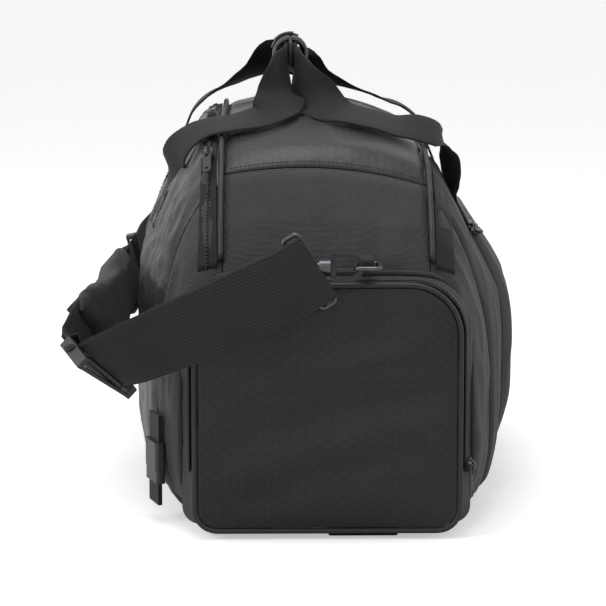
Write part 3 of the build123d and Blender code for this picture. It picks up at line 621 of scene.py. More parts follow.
def thicken(piece, thickness):
    """Give a sheet its thickness inwards and round it off."""
    only(piece)
    skin = piece.modifiers.new("thickness", "SOLIDIFY")
    skin.thickness = thickness
    skin.offset = -1.0
    bpy.ops.object.modifier_apply(modifier=skin.name)
    round_off(piece)


def round_off(piece):
    """One level of subdivision, and smooth shading."""
    only(piece)
    rounder = piece.modifiers.new("rounder", "SUBSURF")
    rounder.levels = rounder.render_levels = 1
    bpy.ops.object.modifier_apply(modifier=rounder.name)
    bpy.ops.object.shade_smooth()


def pinch(u, v, wide, long, reach=0.007):
    """1 on the seams of a panel, 0 inside it."""
    edge = min(min(u, 1 - u) * wide, min(v, 1 - v) * long)
    return 1 - smooth(0.0, reach, edge)


print("thickness helpers ready")

# %% [markdown]
# The top runs between the two lines of piping. Its middle is one long panel, and a cross seam
# joins a panel of coarser weave to each end of it. One grid would smear across that seam, so there
# are three, each drawn in at its own edges. The near one carries soft folds that run down to the
# end pocket, deepest at its right.

# %% Top and upper end panels
def top_place(y0, y1, puff, folds):
    """Where a corner of a top panel goes: on the skin, drawn in at its seams and puffed between."""
    def place(u, v):
        y = y0 + (y1 - y0) * v
        angle = edge_angle(y, -1) + (edge_angle(y, 1) - edge_angle(y, -1)) * u
        point, out = round_body(y, angle)
        tight = pinch(u, v, 0.152, abs(y1 - y0))
        push = 0.0002 - 0.0022 * tight + puff * (1 - smooth(0.0, 0.5, abs(u - 0.5))) * (1 - tight)
        return point + out * (push + folds(point, u, v) * (1 - tight))
    return place


def calm(point, u, v):
    """The long middle panel: shallow cross folds near the handles."""
    return 0.0016 * swell(point, (1.6, 0.5, 1), 0.05) + 0.0008 * swell(point, (1, 1, 1), 0.02)


def near_folds(point, u, v):
    """Folds that fan out from the lower right corner of the near panel, and one along its left."""
    down = smooth(0.25, 1.0, 1 - v)
    right = (math.exp(-((u - 0.84 - 0.05 * v) / 0.045) ** 2)
             - 0.8 * math.exp(-((u - 0.75 - 0.03 * v) / 0.05) ** 2))
    left = math.exp(-((u - 0.12 - 0.06 * v) / 0.05) ** 2)
    soft = 0.0012 * swell(point, (0.4, 1, 1.6), 0.05)
    return 0.0030 * right * down + 0.0016 * left * down + soft + 0.0005 * swell(point, (1, 1, 1), 0.012)


top = grid_piece("top_cloth", top_place(-TOP_SEAM, TOP_SEAM, 0.0012, calm), 40, 90)
near_upper = grid_piece("near_upper_cloth", top_place(-PANEL_END, -TOP_SEAM, 0.0010, near_folds), 56, 24)
far_upper = grid_piece("far_upper_cloth", top_place(TOP_SEAM, PANEL_END, 0.0010, calm), 40, 20)
for piece, node, material in ((top, "top_panel", coated_top),
                              (near_upper, "upper_end_panel_near", ballistic),
                              (far_upper, "upper_end_panel_far", ballistic)):
    face_out(piece)
    thicken(piece, CLOTH)
    finish_with(piece, material, "ballistic_fabric", "bag", node)
print("top panels:", len(top.data.vertices), len(near_upper.data.vertices), "vertices")

# %% [markdown]
# The long sides are coated cloth that has been packed and squashed, and the corners between them
# and the ends are coarse weave. Each side is a grid between two measured directions, so it follows
# the round body. Fine creases run down and across the left one, where it is slack above the strap.

# %% Side and corner panels
def side_place(side, y0, y1, puff, folds):
    """Where a corner of a side or corner panel goes, from the piping (u = 0) down to the rim."""
    def place(u, v):
        y = y0 + (y1 - y0) * v
        first, last = edge_angle(y, side), rim_angle(y, side)
        if side < 0:
            last -= 2 * math.pi
        point, out = round_body(y, first + (last - first) * u)
        tight = pinch(u, v, 0.28, abs(y1 - y0))
        push = 0.0002 - 0.0022 * tight + puff * (1 - tight)
        return point + out * (push + folds(point, u, v) * (1 - tight))
    return place


def left_creases(point, u, v):
    """Fine creases both ways, deepest high up, over a soft swell."""
    high = smooth(0.09, 0.20, point.z)
    fine = ridges(point, (1, 0.45, 1.5), 0.030, 3) - 0.3
    cross = ridges(point + Vector((0, 0.6 * point.z, 0)), (1, 1.2, 0.6), 0.034, 3) - 0.3
    return (0.0012 + 0.0012 * high) * (fine + 0.7 * cross) + 0.0022 * swell(point, (1, 1, 1), 0.09)


def right_creases(point, u, v):
    """Calmer creases, because the pocket holds this side flat."""
    fine = ridges(point, (1, 0.6, 1.6), 0.045, 3) - 0.3
    return 0.0012 * fine + 0.0024 * swell(point, (1, 1, 1), 0.09)


def corner_folds(point, u, v):
    """Short folds that run down the corner panels."""
    return 0.0016 * (ridges(point, (1, 0.5, 1.8), 0.030, 2) - 0.4) + 0.0016 * swell(point, (1, 1, 1), 0.05)


for side, name, folds in ((-1, "left", left_creases), (1, "right", right_creases)):
    place = side_place(side, -SIDE_SEAM, SIDE_SEAM, 0.0006, folds)
    piece = grid_piece(f"side_cloth_{name}", place, 64, 96)
    face_out(piece)
    thicken(piece, CLOTH)
    # The left side gets coated cloth painted paler (painted sheen), the right side the pocket's cloth painted
    # darker (painted shade).
    material = coated_side_painted_sheen if side < 0 else pocket_cloth
    finish_with(piece, material, "coated_fabric", "bag", f"side_panel_{name}")
    for end, where in ((-1, "near"), (1, "far")):
        y0, y1 = sorted((end * SIDE_SEAM, end * PANEL_END))
        place = side_place(side, y0, y1, 0.0004, corner_folds)
        piece = grid_piece(f"corner_cloth_{where}_{name}", place, 56, 14)
        face_out(piece)
        thicken(piece, CLOTH)
        finish_with(piece, ballistic, "ballistic_fabric", "bag", f"corner_panel_{where}_{name}")
print("sides and corners laid")

# %% [markdown]
# The base wraps up 16 mm on each side and lifts off the floor towards the ends. A flat sheet would
# cut through that lift, so it is laid on the skin as the other panels are. It is smooth and heavy,
# so it barely folds.

# %% Base
def base_place(u, v):
    """Where a corner of the base goes, from the right rim under the bag to the left one."""
    y = -PANEL_END + 2 * PANEL_END * v
    first, last = rim_angle(y, 1), rim_angle(y, -1)
    point, out = round_body(y, first + (last - first) * u)
    tight = pinch(u, v, 0.25, 0.48, 0.005)
    return point + out * (0.0001 - 0.0012 * tight - 0.0003)


base = grid_piece("base_cloth", base_place, 48, 96)
face_out(base)
thicken(base, CLOTH)
finish_with(base, lining, "lining_fabric", "bag", "base_panel")
print("base:", len(base.data.vertices), "vertices")

# %% [markdown]
# ## Pieces made of rings
# Webbing, piping and tape are long pieces of one cross section. A curve with a bevel could make
# them, but it can't turn webbing by a chosen angle at each point or keep a UV map in metres. So a
# ring of points is carried along a line and joined to the next ring: a grid rolled up and closed.

# %% A grid rolled into rings
def ring_piece(name, rings, across, closed=False):
    """A grid rolled up so that its rows are the rings; across is each ring point's second UV."""
    size, count = len(rings[0]), len(rings)
    rows = count if closed else count - 1
    centres = [sum(ring, Vector()) / size for ring in rings]
    along = [0.0]
    for i in range(rows):
        along.append(along[-1] + (centres[(i + 1) % count] - centres[i]).length)
    deselect()
    bpy.ops.mesh.primitive_grid_add(x_subdivisions=size, y_subdivisions=rows, size=1, calc_uvs=True)
    piece = bpy.context.object
    piece.name = piece.data.name = name
    mesh = piece.data
    cells = [divmod(i, size + 1) for i in range(len(mesh.vertices))]
    for vert, (row, column) in zip(mesh.vertices, cells):
        vert.co = rings[row % count][column % size]
    layer = mesh.uv_layers.active.data
    for loop in mesh.loops:
        row, column = cells[loop.vertex_index]
        over = across[column] if column < size else across[-1] * 2 - across[-2]
        layer[loop.index].uv = (along[row], over)
    only(piece)
    bpy.ops.object.mode_set(mode="EDIT")
    bpy.ops.mesh.select_all(action="SELECT")
    bpy.ops.mesh.remove_doubles(threshold=0.000005)
    if not closed:
        bpy.ops.mesh.fill_holes(sides=0)
        bpy.ops.mesh.select_all(action="SELECT")
    bpy.ops.mesh.normals_make_consistent(inside=False)
    bpy.ops.object.mode_set(mode="OBJECT")
    bpy.ops.object.shade_smooth()
    return piece


print("rings can be joined")

# %% [markdown]
# A tube needs a side direction that doesn't spin from one ring to the next. Each ring takes the
# side of the ring before and only leans it square to the new way.

# %% Tubes
def circle(middle, side, up, radius, count):
    """count points round middle, in the plane of side and up."""
    turns = [2 * math.pi * k / count for k in range(count)]
    return [middle + (side * math.cos(turn) + up * math.sin(turn)) * radius for turn in turns]


def tube(name, points, radius, sides=10, closed=False):
    """A cord of the given radius along a line of points."""
    rings, side = [], None
    for i, point in enumerate(points):
        before = points[i - 1] if closed or i else point
        after = points[(i + 1) % len(points)] if closed or i < len(points) - 1 else point
        way = (after - before).normalized()
        side = way.orthogonal() if side is None else side - way * side.dot(way)
        side.normalize()
        rings.append(circle(point, side, way.cross(side), radius, sides))
    round_by = [k / sides * 2 * math.pi * radius for k in range(sides)]
    return ring_piece(name, rings, round_by, closed)


print("tubes ready")

# %% [markdown]
# Webbing is steered by stations: a point, the direction of its width there, and the width. The
# line between them is a smooth curve, and the direction turns evenly, as real webbing twists.

# %% Ribbons
# The cross section of webbing, with rounded edges, in shares of its half width and half thickness.
SECTION = [(-1, 0), (-0.985, 0.7), (-0.93, 1), (-0.4, 1), (0.4, 1), (0.93, 1), (0.985, 0.7),
           (1, 0), (0.985, -0.7), (0.93, -1), (0.4, -1), (-0.4, -1), (-0.93, -1), (-0.985, -0.7)]


def sampled(stations, step=0.005):
    """Stations of (point, direction of the width, width) every step metres along their curve."""
    points = [place for place, _, _ in stations]
    length = sum((b - a).length for a, b in zip(points, points[1:]))
    count = max(int(length / step), 2 * len(points))
    n, out = len(points) - 1, []
    for i in range(count + 1):
        t = i / count
        k = min(int(t * n), n - 1)
        f = t * n - k
        (_, a0, w0), (_, a1, w1) = stations[k], stations[k + 1]
        turn = f * f * (3 - 2 * f)
        across = (a0 * (1 - turn) + a1 * turn).normalized()
        out.append((spline_point(points, t), across, w0 + (w1 - w0) * turn))
    return out


def ribbon(name, stations, thickness, shift=0.0, step=0.005, wave=0.0):
    """A strip of webbing through stations, lifted off its middle by shift and rippled by wave."""
    line = sampled(stations, step)
    rings = []
    for i, (point, across, width) in enumerate(line):
        way = (line[min(i + 1, len(line) - 1)][0] - line[max(i - 1, 0)][0]).normalized()
        over = (across - way * across.dot(way)).normalized()
        out = way.cross(over)
        raised = shift + wave * noise.noise(point * 30)
        rings.append([point + over * a * width / 2 + out * (b * thickness / 2 + raised) for a, b in SECTION])
    return ring_piece(name, rings, [a * line[0][2] / 2 for a, _ in SECTION])


def joined(name, pieces):
    """Several pieces as one mesh."""
    deselect()
    for piece in pieces:
        piece.select_set(True)
    bpy.context.view_layer.objects.active = pieces[0]
    if len(pieces) > 1:
        bpy.ops.object.join()
    piece = bpy.context.object
    piece.name = piece.data.name = name
    return piece


print("ribbons ready, with", len(SECTION), "points to a ring")

# %% [markdown]
# ## Ends
# The outline of an end panel is round at the top and nearly square at the base. Its four corners
# are arcs, walked at an even pace. So the same few numbers give the panel, its gusset, the piping
# and the zip tape round it.

# %% Outline of an end
def outline(half, low, high, corner, base_corner, count):
    """count points round an end panel's outline, from the middle of its base towards +X."""
    corners = [(half - base_corner, low + base_corner, base_corner, -90),
               (half - corner, high - corner, corner, 0),
               (-half + corner, high - corner, corner, 90),
               (-half + base_corner, low + base_corner, base_corner, 180)]
    raw = [Vector((0, low))]
    for x, z, radius, first in corners:
        raw += [Vector((x + radius * math.cos(math.radians(first + a * 7.5)),
                        z + radius * math.sin(math.radians(first + a * 7.5)))) for a in range(13)]
    raw.append(Vector((0, low)))
    whole = sum((b - a).length for a, b in zip(raw, raw[1:]))
    return [point for point, _ in paced(raw, whole / count)][:count]


print("outline of", len(outline(0.1, 0.0, 0.2, 0.04, 0.014, 160)), "points")

# %% [markdown]
# Each end of the body is closed by a wall that rounds over its edge, and a gusset stands out of it
# to make room for the end pocket. Both are grids bent round into a band. The wall bulges, because
# the bag is full, and the gusset is drawn in along its middle, because nothing holds it there.

# %% End walls and gussets
AROUND = 160      # faces round a gusset
GUSSET_ROWS = 12  # and across it


def gusset_line(y, grow=0.0, count=AROUND):
    """The gusset's outline at y, grown by grow."""
    t = (abs(y) - 0.240) / 0.027
    half, low, high, corner = 0.105 - 0.012 * t, 0.004 + 0.004 * t, 0.187 - 0.005 * t, 0.041 - 0.006 * t
    line = outline(half + grow, low - grow, high + grow, corner + grow, 0.014, count)
    return [Vector((point.x, y, point.y)) for point in line]


def wall_place(end):
    """The end wall, from the body's edge (v = 0) in to the gusset, with a bulge between."""
    inner = gusset_line(end * 0.2405)

    def place(u, v):
        point = inner[int(round(u * AROUND)) % AROUND]
        angle = math.atan2(point.x, point.z - AXIS_Z)
        edge, _ = round_body(end * PANEL_END, angle)
        edge = edge + (Vector((0, edge.y, AXIS_Z)) - edge).normalized() * 0.0012
        start, finish = Vector((point.x, end * 0.2398, point.z)), Vector((edge.x, end * 0.2392, edge.z))
        bulge = min(0.0042, 0.28 * (finish - start).length) * math.sin(math.pi * min(v, 1)) ** 0.7
        ripple = 0.0006 * swell(point, (1, 1, 1), 0.03) * math.sin(math.pi * v)
        return finish.lerp(start, v) + Vector((0, end * (bulge + ripple), 0))
    return place


def gusset_place(end):
    """The gusset, from the wall out to the end panel, drawn in a little along its middle."""
    rows = [gusset_line(end * (PANEL_END + 0.0275 * k / GUSSET_ROWS)) for k in range(GUSSET_ROWS + 1)]

    def place(u, v):
        point = rows[int(round(v * GUSSET_ROWS))][int(round(u * AROUND)) % AROUND]
        middle = Vector((0, point.y, AXIS_Z))
        inward = (middle - point).normalized()
        crease = 0.0008 * (ridges(point, (1, 0.4, 1), 0.022, 2) - 0.4) + 0.0012 * math.sin(math.pi * v)
        return point + inward * max(crease, -0.0004)
    return place


for end, where in ((-1, "near"), (1, "far")):
    wall = grid_piece(f"end_wall_cloth_{where}", wall_place(end), AROUND, 8, closed=True)
    face_out(wall, (0, end * 0.10, AXIS_Z))
    thicken(wall, THIN_CLOTH)
    finish_with(wall, ballistic, "ballistic_fabric", "bag", f"end_wall_{where}")
    gusset = grid_piece(f"end_gusset_cloth_{where}", gusset_place(end), AROUND, GUSSET_ROWS, closed=True)
    face_out(gusset, (0, end * 0.25, AXIS_Z))
    thicken(gusset, THIN_CLOTH)
    finish_with(gusset, ballistic, "ballistic_fabric", "bag", f"end_gusset_{where}")
print("end walls and gussets sewn")

# %% [markdown]
# The end panels are coated cloth over a thin foam. A simulation would fold them anywhere, but this
# panel hangs in a few wide folds that rise to the right. So they are drawn by formula, as ridges
# and valleys on a panel that stands a little proud.

# %% End panels
def end_place(end, folds):
    """An end panel; its half width at each height follows the round corners."""
    low, high, half, corner, base_corner = 0.0085, 0.1815, 0.0925, 0.035, 0.014

    def place(u, v):
        rise = (1 - math.cos(math.pi * v)) / 2
        z = low + (high - low) * rise
        if z > high - corner:
            reach = half - corner + math.sqrt(max(corner ** 2 - (z - high + corner) ** 2, 0))
        elif z < low + base_corner:
            reach = half - base_corner + math.sqrt(max(base_corner ** 2 - (z - low - base_corner) ** 2, 0))
        else:
            reach = half
        x = reach * -math.cos(math.pi * u)
        sideways, upright = x / half, (z - low) / (high - low) * 2 - 1
        body = (1 - abs(sideways) ** 5) * (1 - abs(upright) ** 5)
        spot = Vector((x, end * 0.2700, z))
        push = 0.0060 * body + body * folds(spot)
        return spot + Vector((0, end * push, 0))
    return place


def end_folds(spot):
    """Two wide folds that rise to the right, each above a valley, a short one, and soft swells."""
    bend = 0.006 * swell(spot, (1, 1, 1), 0.05)
    crests = ((0.118, 0.016, 0.0042), (0.092, 0.013, -0.0030),
              (0.066, 0.014, 0.0034), (0.044, 0.012, -0.0024))
    rising = sum(depth * math.exp(-((spot.z - height - 0.26 * spot.x + bend) / width) ** 2)
                 for height, width, depth in crests)
    left = 1 - smooth(-0.08, -0.01, spot.x)
    short = 0.0030 * left * math.exp(-((spot.z - 0.082 + 0.30 * (spot.x + 0.07) + bend) / 0.009) ** 2)
    swells = 0.0030 * swell(spot, (1.4, 1, 1.0), 0.06)
    return rising + short + swells + 0.0008 * swell(spot, (1.6, 1, 0.7), 0.020)


for end, node in ((-1, "end_pocket_panel"), (1, "end_panel_far")):
    panel = grid_piece(f"{node}_cloth", end_place(end, end_folds), 90, 90)
    face_out(panel, (0, end * 0.20, AXIS_Z))
    thicken(panel, 0.0024)
    finish_with(panel, coated_end, "coated_fabric", "bag", node)
print("end panels:", len(panel.data.vertices), "vertices each")

# %% [markdown]
# ## Piping, tape and teeth
# A cord in its sleeve runs round both end panels and along both edges of the top. It draws the
# lines by which the form is read, so it is real tube and not a stripe in a material.

# %% Piping
PIPING = 0.0021   # radius of a piping sleeve
round_ends = []
for end in (-1, 1):
    around = outline(0.0948, 0.0062, 0.1838, 0.0368, 0.0158, 200)
    line = [Vector((point.x, end * 0.2692, point.y)) for point in around]
    round_ends.append(tube(f"end_piping_tube_{end}", line, PIPING, closed=True))
finish_with(joined("end_piping_sleeves", round_ends), piping_sleeve, "piping", "bag", "end_piping")
long_edges = []
for side in (-1, 1):
    line = []
    for k in range(-94, 95):
        y = k * 0.0025
        point, _ = round_body(y, edge_angle(y, side))
        line.append(Vector((side * 0.0762, y, point.z + 0.0024)))
    line[0].z -= 0.002
    line[-1].z -= 0.002
    long_edges.append(tube(f"top_piping_tube_{side}", line, PIPING))
finish_with(joined("top_piping_sleeves", long_edges), piping_sleeve, "piping", "bag", "top_piping")
print("piping laid")

# %% [markdown]
# Zip tape is a flat ribbed ribbon. On the left edge of the top it carries the main zip, on the
# right it only covers the seam, and the end zip's tape runs up and over the near gusset. The skin
# is measured on both sides of each tape, so that the tape leans as the cloth below it does.

# %% Zip tapes
TAPE = 0.0009     # thickness of zip tape


def tape_stations(x0, x1):
    """Stations of a tape over the body between two lines of x."""
    out = []
    for k in range(-39, 40):
        y = k * 0.006
        a, _ = hit(body_skin, (x0, y, 0.6), (0, 0, -1))
        b, _ = hit(body_skin, (x1, y, 0.6), (0, 0, -1))
        over = (b - a).normalized()
        away = UP - over * over.z
        out.append(((a + b) / 2 + away.normalized() * TAPE, over, (b - a).length))
    return out


def around_end(y, grow, count, lowest):
    """Points round the near gusset at y, above lowest, from its right foot over the top."""
    line = gusset_line(y, grow, count)
    return [point for point in line if point.z > lowest]


main_line = tape_stations(-0.0905, -0.0795)
tape = ribbon("main_zip_ribbon", main_line, TAPE)
finish_with(tape, zip_tape, "zip_tape", "bag", "main_zip_tape")
edge = ribbon("edge_ribbon_right", tape_stations(0.0795, 0.0905), TAPE)
finish_with(edge, zip_tape, "zip_tape", "bag", "edge_tape_right")
foot = around_end(-0.256, 0.0008, 200, 0.0445)
end_tape = ribbon("end_zip_ribbon", [(point, ALONG, 0.0115) for point in foot], TAPE)
finish_with(end_tape, zip_tape, "zip_tape", "bag", "end_zip_tape")
print("tapes laid; the end zip runs", round(sum((b - a).length for a, b in zip(foot, foot[1:])), 3), "m")

# %% [markdown]
# A zip's teeth could be a bump pattern, but they show along the edge of the bag, so they are real
# blocks. One block is bevelled by hand and copied along the line, in turn to the left and right.

# %% A row of teeth
TOOTH = (0.0010, 0.0026, 0.0013)
TOOTH_PITCH = 0.0015


def teeth(name, spots, size, sideways=0.22):
    """One block is modelled and copied to every (place, way along, way out)."""
    deselect()
    bpy.ops.mesh.primitive_cube_add(size=1)
    block = bpy.context.object
    bpy.ops.transform.resize(value=size)
    bpy.ops.object.transform_apply(location=False, rotation=False, scale=True)
    bpy.ops.object.mode_set(mode="EDIT")
    bpy.ops.mesh.bevel(offset=min(size) * 0.25, segments=1)
    bpy.ops.object.mode_set(mode="OBJECT")
    row = bmesh.new()
    for i, (place, way, out) in enumerate(spots):
        over = way.cross(out).normalized()
        turn = Matrix((way, over, out)).transposed().to_4x4()
        shift = over * size[1] * (sideways if i % 2 else -sideways)
        first = len(row.verts)
        row.from_mesh(block.data)
        row.verts.ensure_lookup_table()
        bmesh.ops.transform(row, matrix=Matrix.Translation(place + shift) @ turn, verts=row.verts[first:])
    row.to_mesh(block.data)
    row.free()
    block.name = block.data.name = name
    return block


def along_line(points, outs, step):
    """Places, ways and outward ways every step metres along a line."""
    spots = []
    for place, way in paced(points, step):
        near = min(range(len(points)), key=lambda k: (points[k] - place).length_squared)
        out = (outs[near] - way * outs[near].dot(way)).normalized()
        spots.append((place, way, out))
    return spots


print("teeth every", TOOTH_PITCH * 1000, "mm")

# %% [markdown]
# The teeth stand on the middle of their tapes. The way out of the cloth is kept square to the line,
# or the blocks would lean where the bag is round.

# %% Teeth of the main and end zips
main_points = [place for place, _, _ in main_line]
main_outs = [UP - across * across.z for _, across, _ in main_line]
main_points = [place + out.normalized() * 0.0010 for place, out in zip(main_points, main_outs)]
main_teeth = teeth("main_zip_teeth", along_line(main_points, main_outs, TOOTH_PITCH), TOOTH)
finish_with(main_teeth, coil_plastic, "zip_coil", "bag", "main_zip_coil")
end_outs = [Vector((point.x, 0, point.z - AXIS_Z)).normalized() for point in foot]
end_points = [point + out * 0.0010 for point, out in zip(foot, end_outs)]
end_teeth = teeth("end_zip_teeth", along_line(end_points, end_outs, TOOTH_PITCH), TOOTH)
finish_with(end_teeth, coil_plastic, "zip_coil", "bag", "end_zip_coil")
print("teeth:", len(main_teeth.data.polygons) + len(end_teeth.data.polygons), "faces")

# %% [markdown]
# ## Webbing
# Both carry handles start flat on the sides, twist over the shoulders of the bag and meet at the
# grip. The near legs droop and the far ones are drawn tight. A simulation wouldn't find that
# pose again, so each leg is steered by stations: a point in millimetres with the direction of the
# webbing's width.

# %% Carry handles
WIDE, GRIP = 0.038, 0.018   # width of the handle webbing, flat and folded in the grip
WEBBING = 0.0018            # thickness of one layer


def in_metres(run, width):
    """Stations from points in millimetres, each with the direction of its width."""
    return [(Vector(place) / 1000, Vector(across).normalized(), width) for place, across in run]


left_leg = [((-122.2, -110, 226.2), (-0.08, 1, 0)), ((-120.6, -110, 231), (-0.08, 1, 0)),
            ((-119.4, -110, 234), (-0.07, 1, 0)), ((-115.0, -112, 243), (-0.22, 0.97, 0)),
            ((-112.5, -118, 257), (-0.50, 0.86, 0)), ((-108, -123, 268), (-0.42, 0.88, 0.1)),
            ((-98, -126, 278), (-0.3, 0.93, 0.2)), ((-85, -127, 284), (-0.15, 0.95, 0.22)),
            ((-70, -127, 286.5), (-0.1, 0.96, 0.22)), ((-42, -122, 292.5), (-0.2, 0.92, 0.33)),
            ((-32, -103, 303), (-0.75, 0.3, 0.35)), ((-31, -82, 318), (-0.4, -0.45, 0.75))]
left_far = [((-36, 66, 331), (0, -0.7, 0.7)), ((-52, 77, 319), (0, -0.9, 0.4)),
            ((-72, 92, 304), (0, -0.98, 0.2)), ((-90, 103, 291), (0, -1, 0)),
            ((-102, 108, 279), (0, -1, 0)), ((-108, 110, 268), (0, -1, 0)),
            ((-112, 110, 256), (0, -1, 0)), ((-115.3, 110, 243), (-0.07, -1, 0)),
            ((-119.4, 110, 234), (-0.08, -1, 0)), ((-122.2, 110, 226.2), (-0.08, -1, 0))]
right_leg = [((99.8, -110, 226.2), (-0.04, 1, 0)), ((99.4, -110, 231), (-0.02, 1, 0)),
             ((98, -110, 238), (-0.22, 0.97, 0)), ((97.5, -110, 249), (-0.32, 0.94, 0.03)),
             ((96, -110.5, 259), (-0.36, 0.92, 0.12)), ((92.5, -111, 267), (-0.28, 0.90, 0.3)),
             ((87, -112, 275.5), (0, 0.87, 0.45)), ((74, -114, 280.5), (0, 0.87, 0.45)),
             ((56, -117, 283), (0, 0.93, 0.33)), ((38, -119, 288.5), (0, 0.95, 0.3)),
             ((18, -118, 293), (0.1, 0.95, 0.3)), ((3, -110, 297), (0.45, 0.75, 0.4)),
             ((-14.5, -86, 312), (0.36, -0.4, 0.75))]
right_far = [((-13, 65, 325), (0, -0.7, 0.7)), ((2, 73, 314), (0, -0.9, 0.4)),
             ((32, 88, 298), (0, -0.98, 0.15)), ((53, 99, 287), (0, -1, 0.05)),
             ((71, 108, 280), (0, -1, 0)), ((84, 110, 269), (0, -1, 0)),
             ((88, 110, 256), (0, -1, 0)), ((93.6, 110, 243), (-0.03, -1, 0)),
             ((97.3, 110, 234), (-0.04, -1, 0)), ((99.8, 110, 226.2), (-0.04, -1, 0))]


def handle(name, near, far, grip_x):
    """Both legs of a handle as 38 mm webbing, and the folded webbing inside the grip."""
    start, finish = [((grip_x, y, 334), (0, 0, 1)) for y in (-60, 60)]
    near_leg = in_metres(near, WIDE) + in_metres([start], GRIP)
    far_leg = in_metres([finish], GRIP) + in_metres(far, WIDE)
    return joined(name, [ribbon(f"{name}_near", near_leg, WEBBING, step=0.004, wave=0.0008),
                         ribbon(f"{name}_grip", in_metres([start, finish], GRIP), 2 * WEBBING, step=0.004),
                         ribbon(f"{name}_far", far_leg, WEBBING, step=0.004, wave=0.0008)])


carry_l = handle("handle_webbing_left", left_leg, left_far, -27.4)
finish_with(carry_l, handle_webbing, "webbing", "carry_left", "handle_left")
carry_r = handle("handle_webbing_right", right_leg, right_far, -20.6)
finish_with(carry_r, handle_webbing, "webbing", "carry_right", "handle_right")
print("handles:", len(carry_l.data.vertices), len(carry_r.data.vertices), "vertices")

# %% [markdown]
# The sewn ends of the handles stay on the sides of the bag. Each has a box of stitching, as such a
# seam has to carry the full load. The stitches are small bevelled blocks, copied as the teeth are.

# %% Anchors and stitches
def stitches(name, lines, pitch=0.0034, length=0.0022, radius=0.00032):
    """Rows of short thread stitches; every line is (points, way out)."""
    spots = []
    for points, out in lines:
        for place, way in paced(points, pitch):
            normal = (out - way * out.dot(way)).normalized()
            spots.append((place, way, normal))
    return teeth(name, spots, (length, radius * 2, radius * 2), 0.0)


thread = plain_finish("thread", (0.030, 0.030, 0.032), (0.060, 0.060, 0.064), 0.7, 900.0, 0.00003)
# Rows of a stitched box: from and to, in shares of the anchor's width and height.
STITCH_BOX = [((-0.44, row), (0.44, row)) for row in (0.08, 0.5, 0.92)] + [
    ((edge, 0.08), (edge, 0.92)) for edge in (-0.44, 0.44)]
anchors, rows = [], []
for name, low, high, turn in (("near_left", (-129.9, -110, 208), (-122.2, -110, 226.1), (-0.1, 1, 0)),
                              ("far_left", (-129.9, 110, 208), (-122.2, 110, 226.1), (0.1, 1, 0)),
                              ("near_right", (109.7, -110, 208), (100.1, -110, 226.1), (-0.03, 1, 0)),
                              ("far_right", (109.7, 110, 208), (100.1, 110, 226.1), (0.03, 1, 0))):
    low, high = Vector(low) / 1000, Vector(high) / 1000
    over, up = Vector(turn).normalized(), (high - low).normalized()
    anchors.append(ribbon(f"anchor_{name}", [(low, over, WIDE), (high, over, WIDE)], WEBBING, step=0.003))
    out = up.cross(over)
    out = out if out.x * low.x > 0 else -out
    at = low + out * 0.0011
    for (a0, b0), (a1, b1) in STITCH_BOX:
        rows.append(([at + over * a0 * WIDE + (high - low) * b0,
                      at + over * a1 * WIDE + (high - low) * b1], out))
anchor_piece = joined("handle_anchor_webbing", anchors)
finish_with(anchor_piece, handle_webbing, "webbing", "bag", "handle_anchors")
finish_with(stitches("anchor_stitches", rows), thread, "webbing", "bag")
print("anchors sewn with", len(rows), "rows")

# %% [markdown]
# The shoulder strap hangs from its hooks. Webbing turns round each wire loop and comes back on
# itself. At the near end both layers run down to the ladder slider, and one goes on to the pad.
# The two layers share their stations and are only shifted apart, so they never cross.

# %% Strap webbing
STRAP = 0.050
LAYER = 0.0017              # thickness of a layer where the strap is doubled
DOWN = (0.51, 0, -0.86)
near_run = [((-6.6, -293.6, 201.0), DOWN), ((-14, -293.8, 196.5), DOWN), ((-28.9, -295, 188.0), DOWN),
            ((-45, -299, 181.5), DOWN), ((-72, -305, 169.5), (0.52, 0.05, -0.85)),
            ((-100, -307, 157.5), (0.54, 0.15, -0.82)), ((-128, -305.5, 145.5), (0.58, 0.28, -0.76)),
            ((-149, -301.5, 136.5), (0.62, 0.36, -0.69)), ((-161, -293, 131), (0.64, 0.44, -0.63)),
            ((-167.5, -282, 134.5), (0.6, 0.55, -0.58)), ((-171.9, -273.7, 138.9), (0.55, 0.67, -0.5))]
to_pad = [((-172.0, -273.5, 139.0), (0.55, 0.67, -0.5)), ((-173.1, -271.8, 140.0), (0.55, 0.67, -0.5)),
          ((-168.4, -259.0, 149.9), (0.4, 0.25, -0.88)), ((-168.0, -256.3, 150.0), (0.4, 0.25, -0.88))]
far_run = [((-156, 40.3, 145), (0.2, 0, -0.98)), ((-155.8, 44, 144.8), (0.2, 0, -0.98)),
           ((-153, 75, 143), (0.2, 0, -0.98)), ((-150, 140, 143), (0.2, 0, -0.98)),
           ((-142, 205, 150), (0.25, -0.05, -0.96)), ((-118, 262, 164), (0.35, -0.1, -0.93)),
           ((-80, 297, 178), (0.45, -0.05, -0.88)), ((-52, 300, 183), DOWN), ((-28.9, 293.5, 187.7), DOWN),
           ((-21, 290.5, 192.35), DOWN)]


def turn_back(name, end):
    """The webbing where it turns round the outer bar of a wire loop."""
    over, middle = Vector(DOWN).normalized(), Vector((-0.0183, end * 0.2905, 0.1940))
    rings = []
    for place in circle(middle, ALONG, over.cross(ALONG).normalized(), 0.0028, 24):
        out = (place - middle).normalized()
        rings.append([place + over * a * STRAP / 2 + out * b * LAYER / 2 for a, b in SECTION])
    return ring_piece(name, rings, [a * STRAP / 2 for a, _ in SECTION], closed=True)


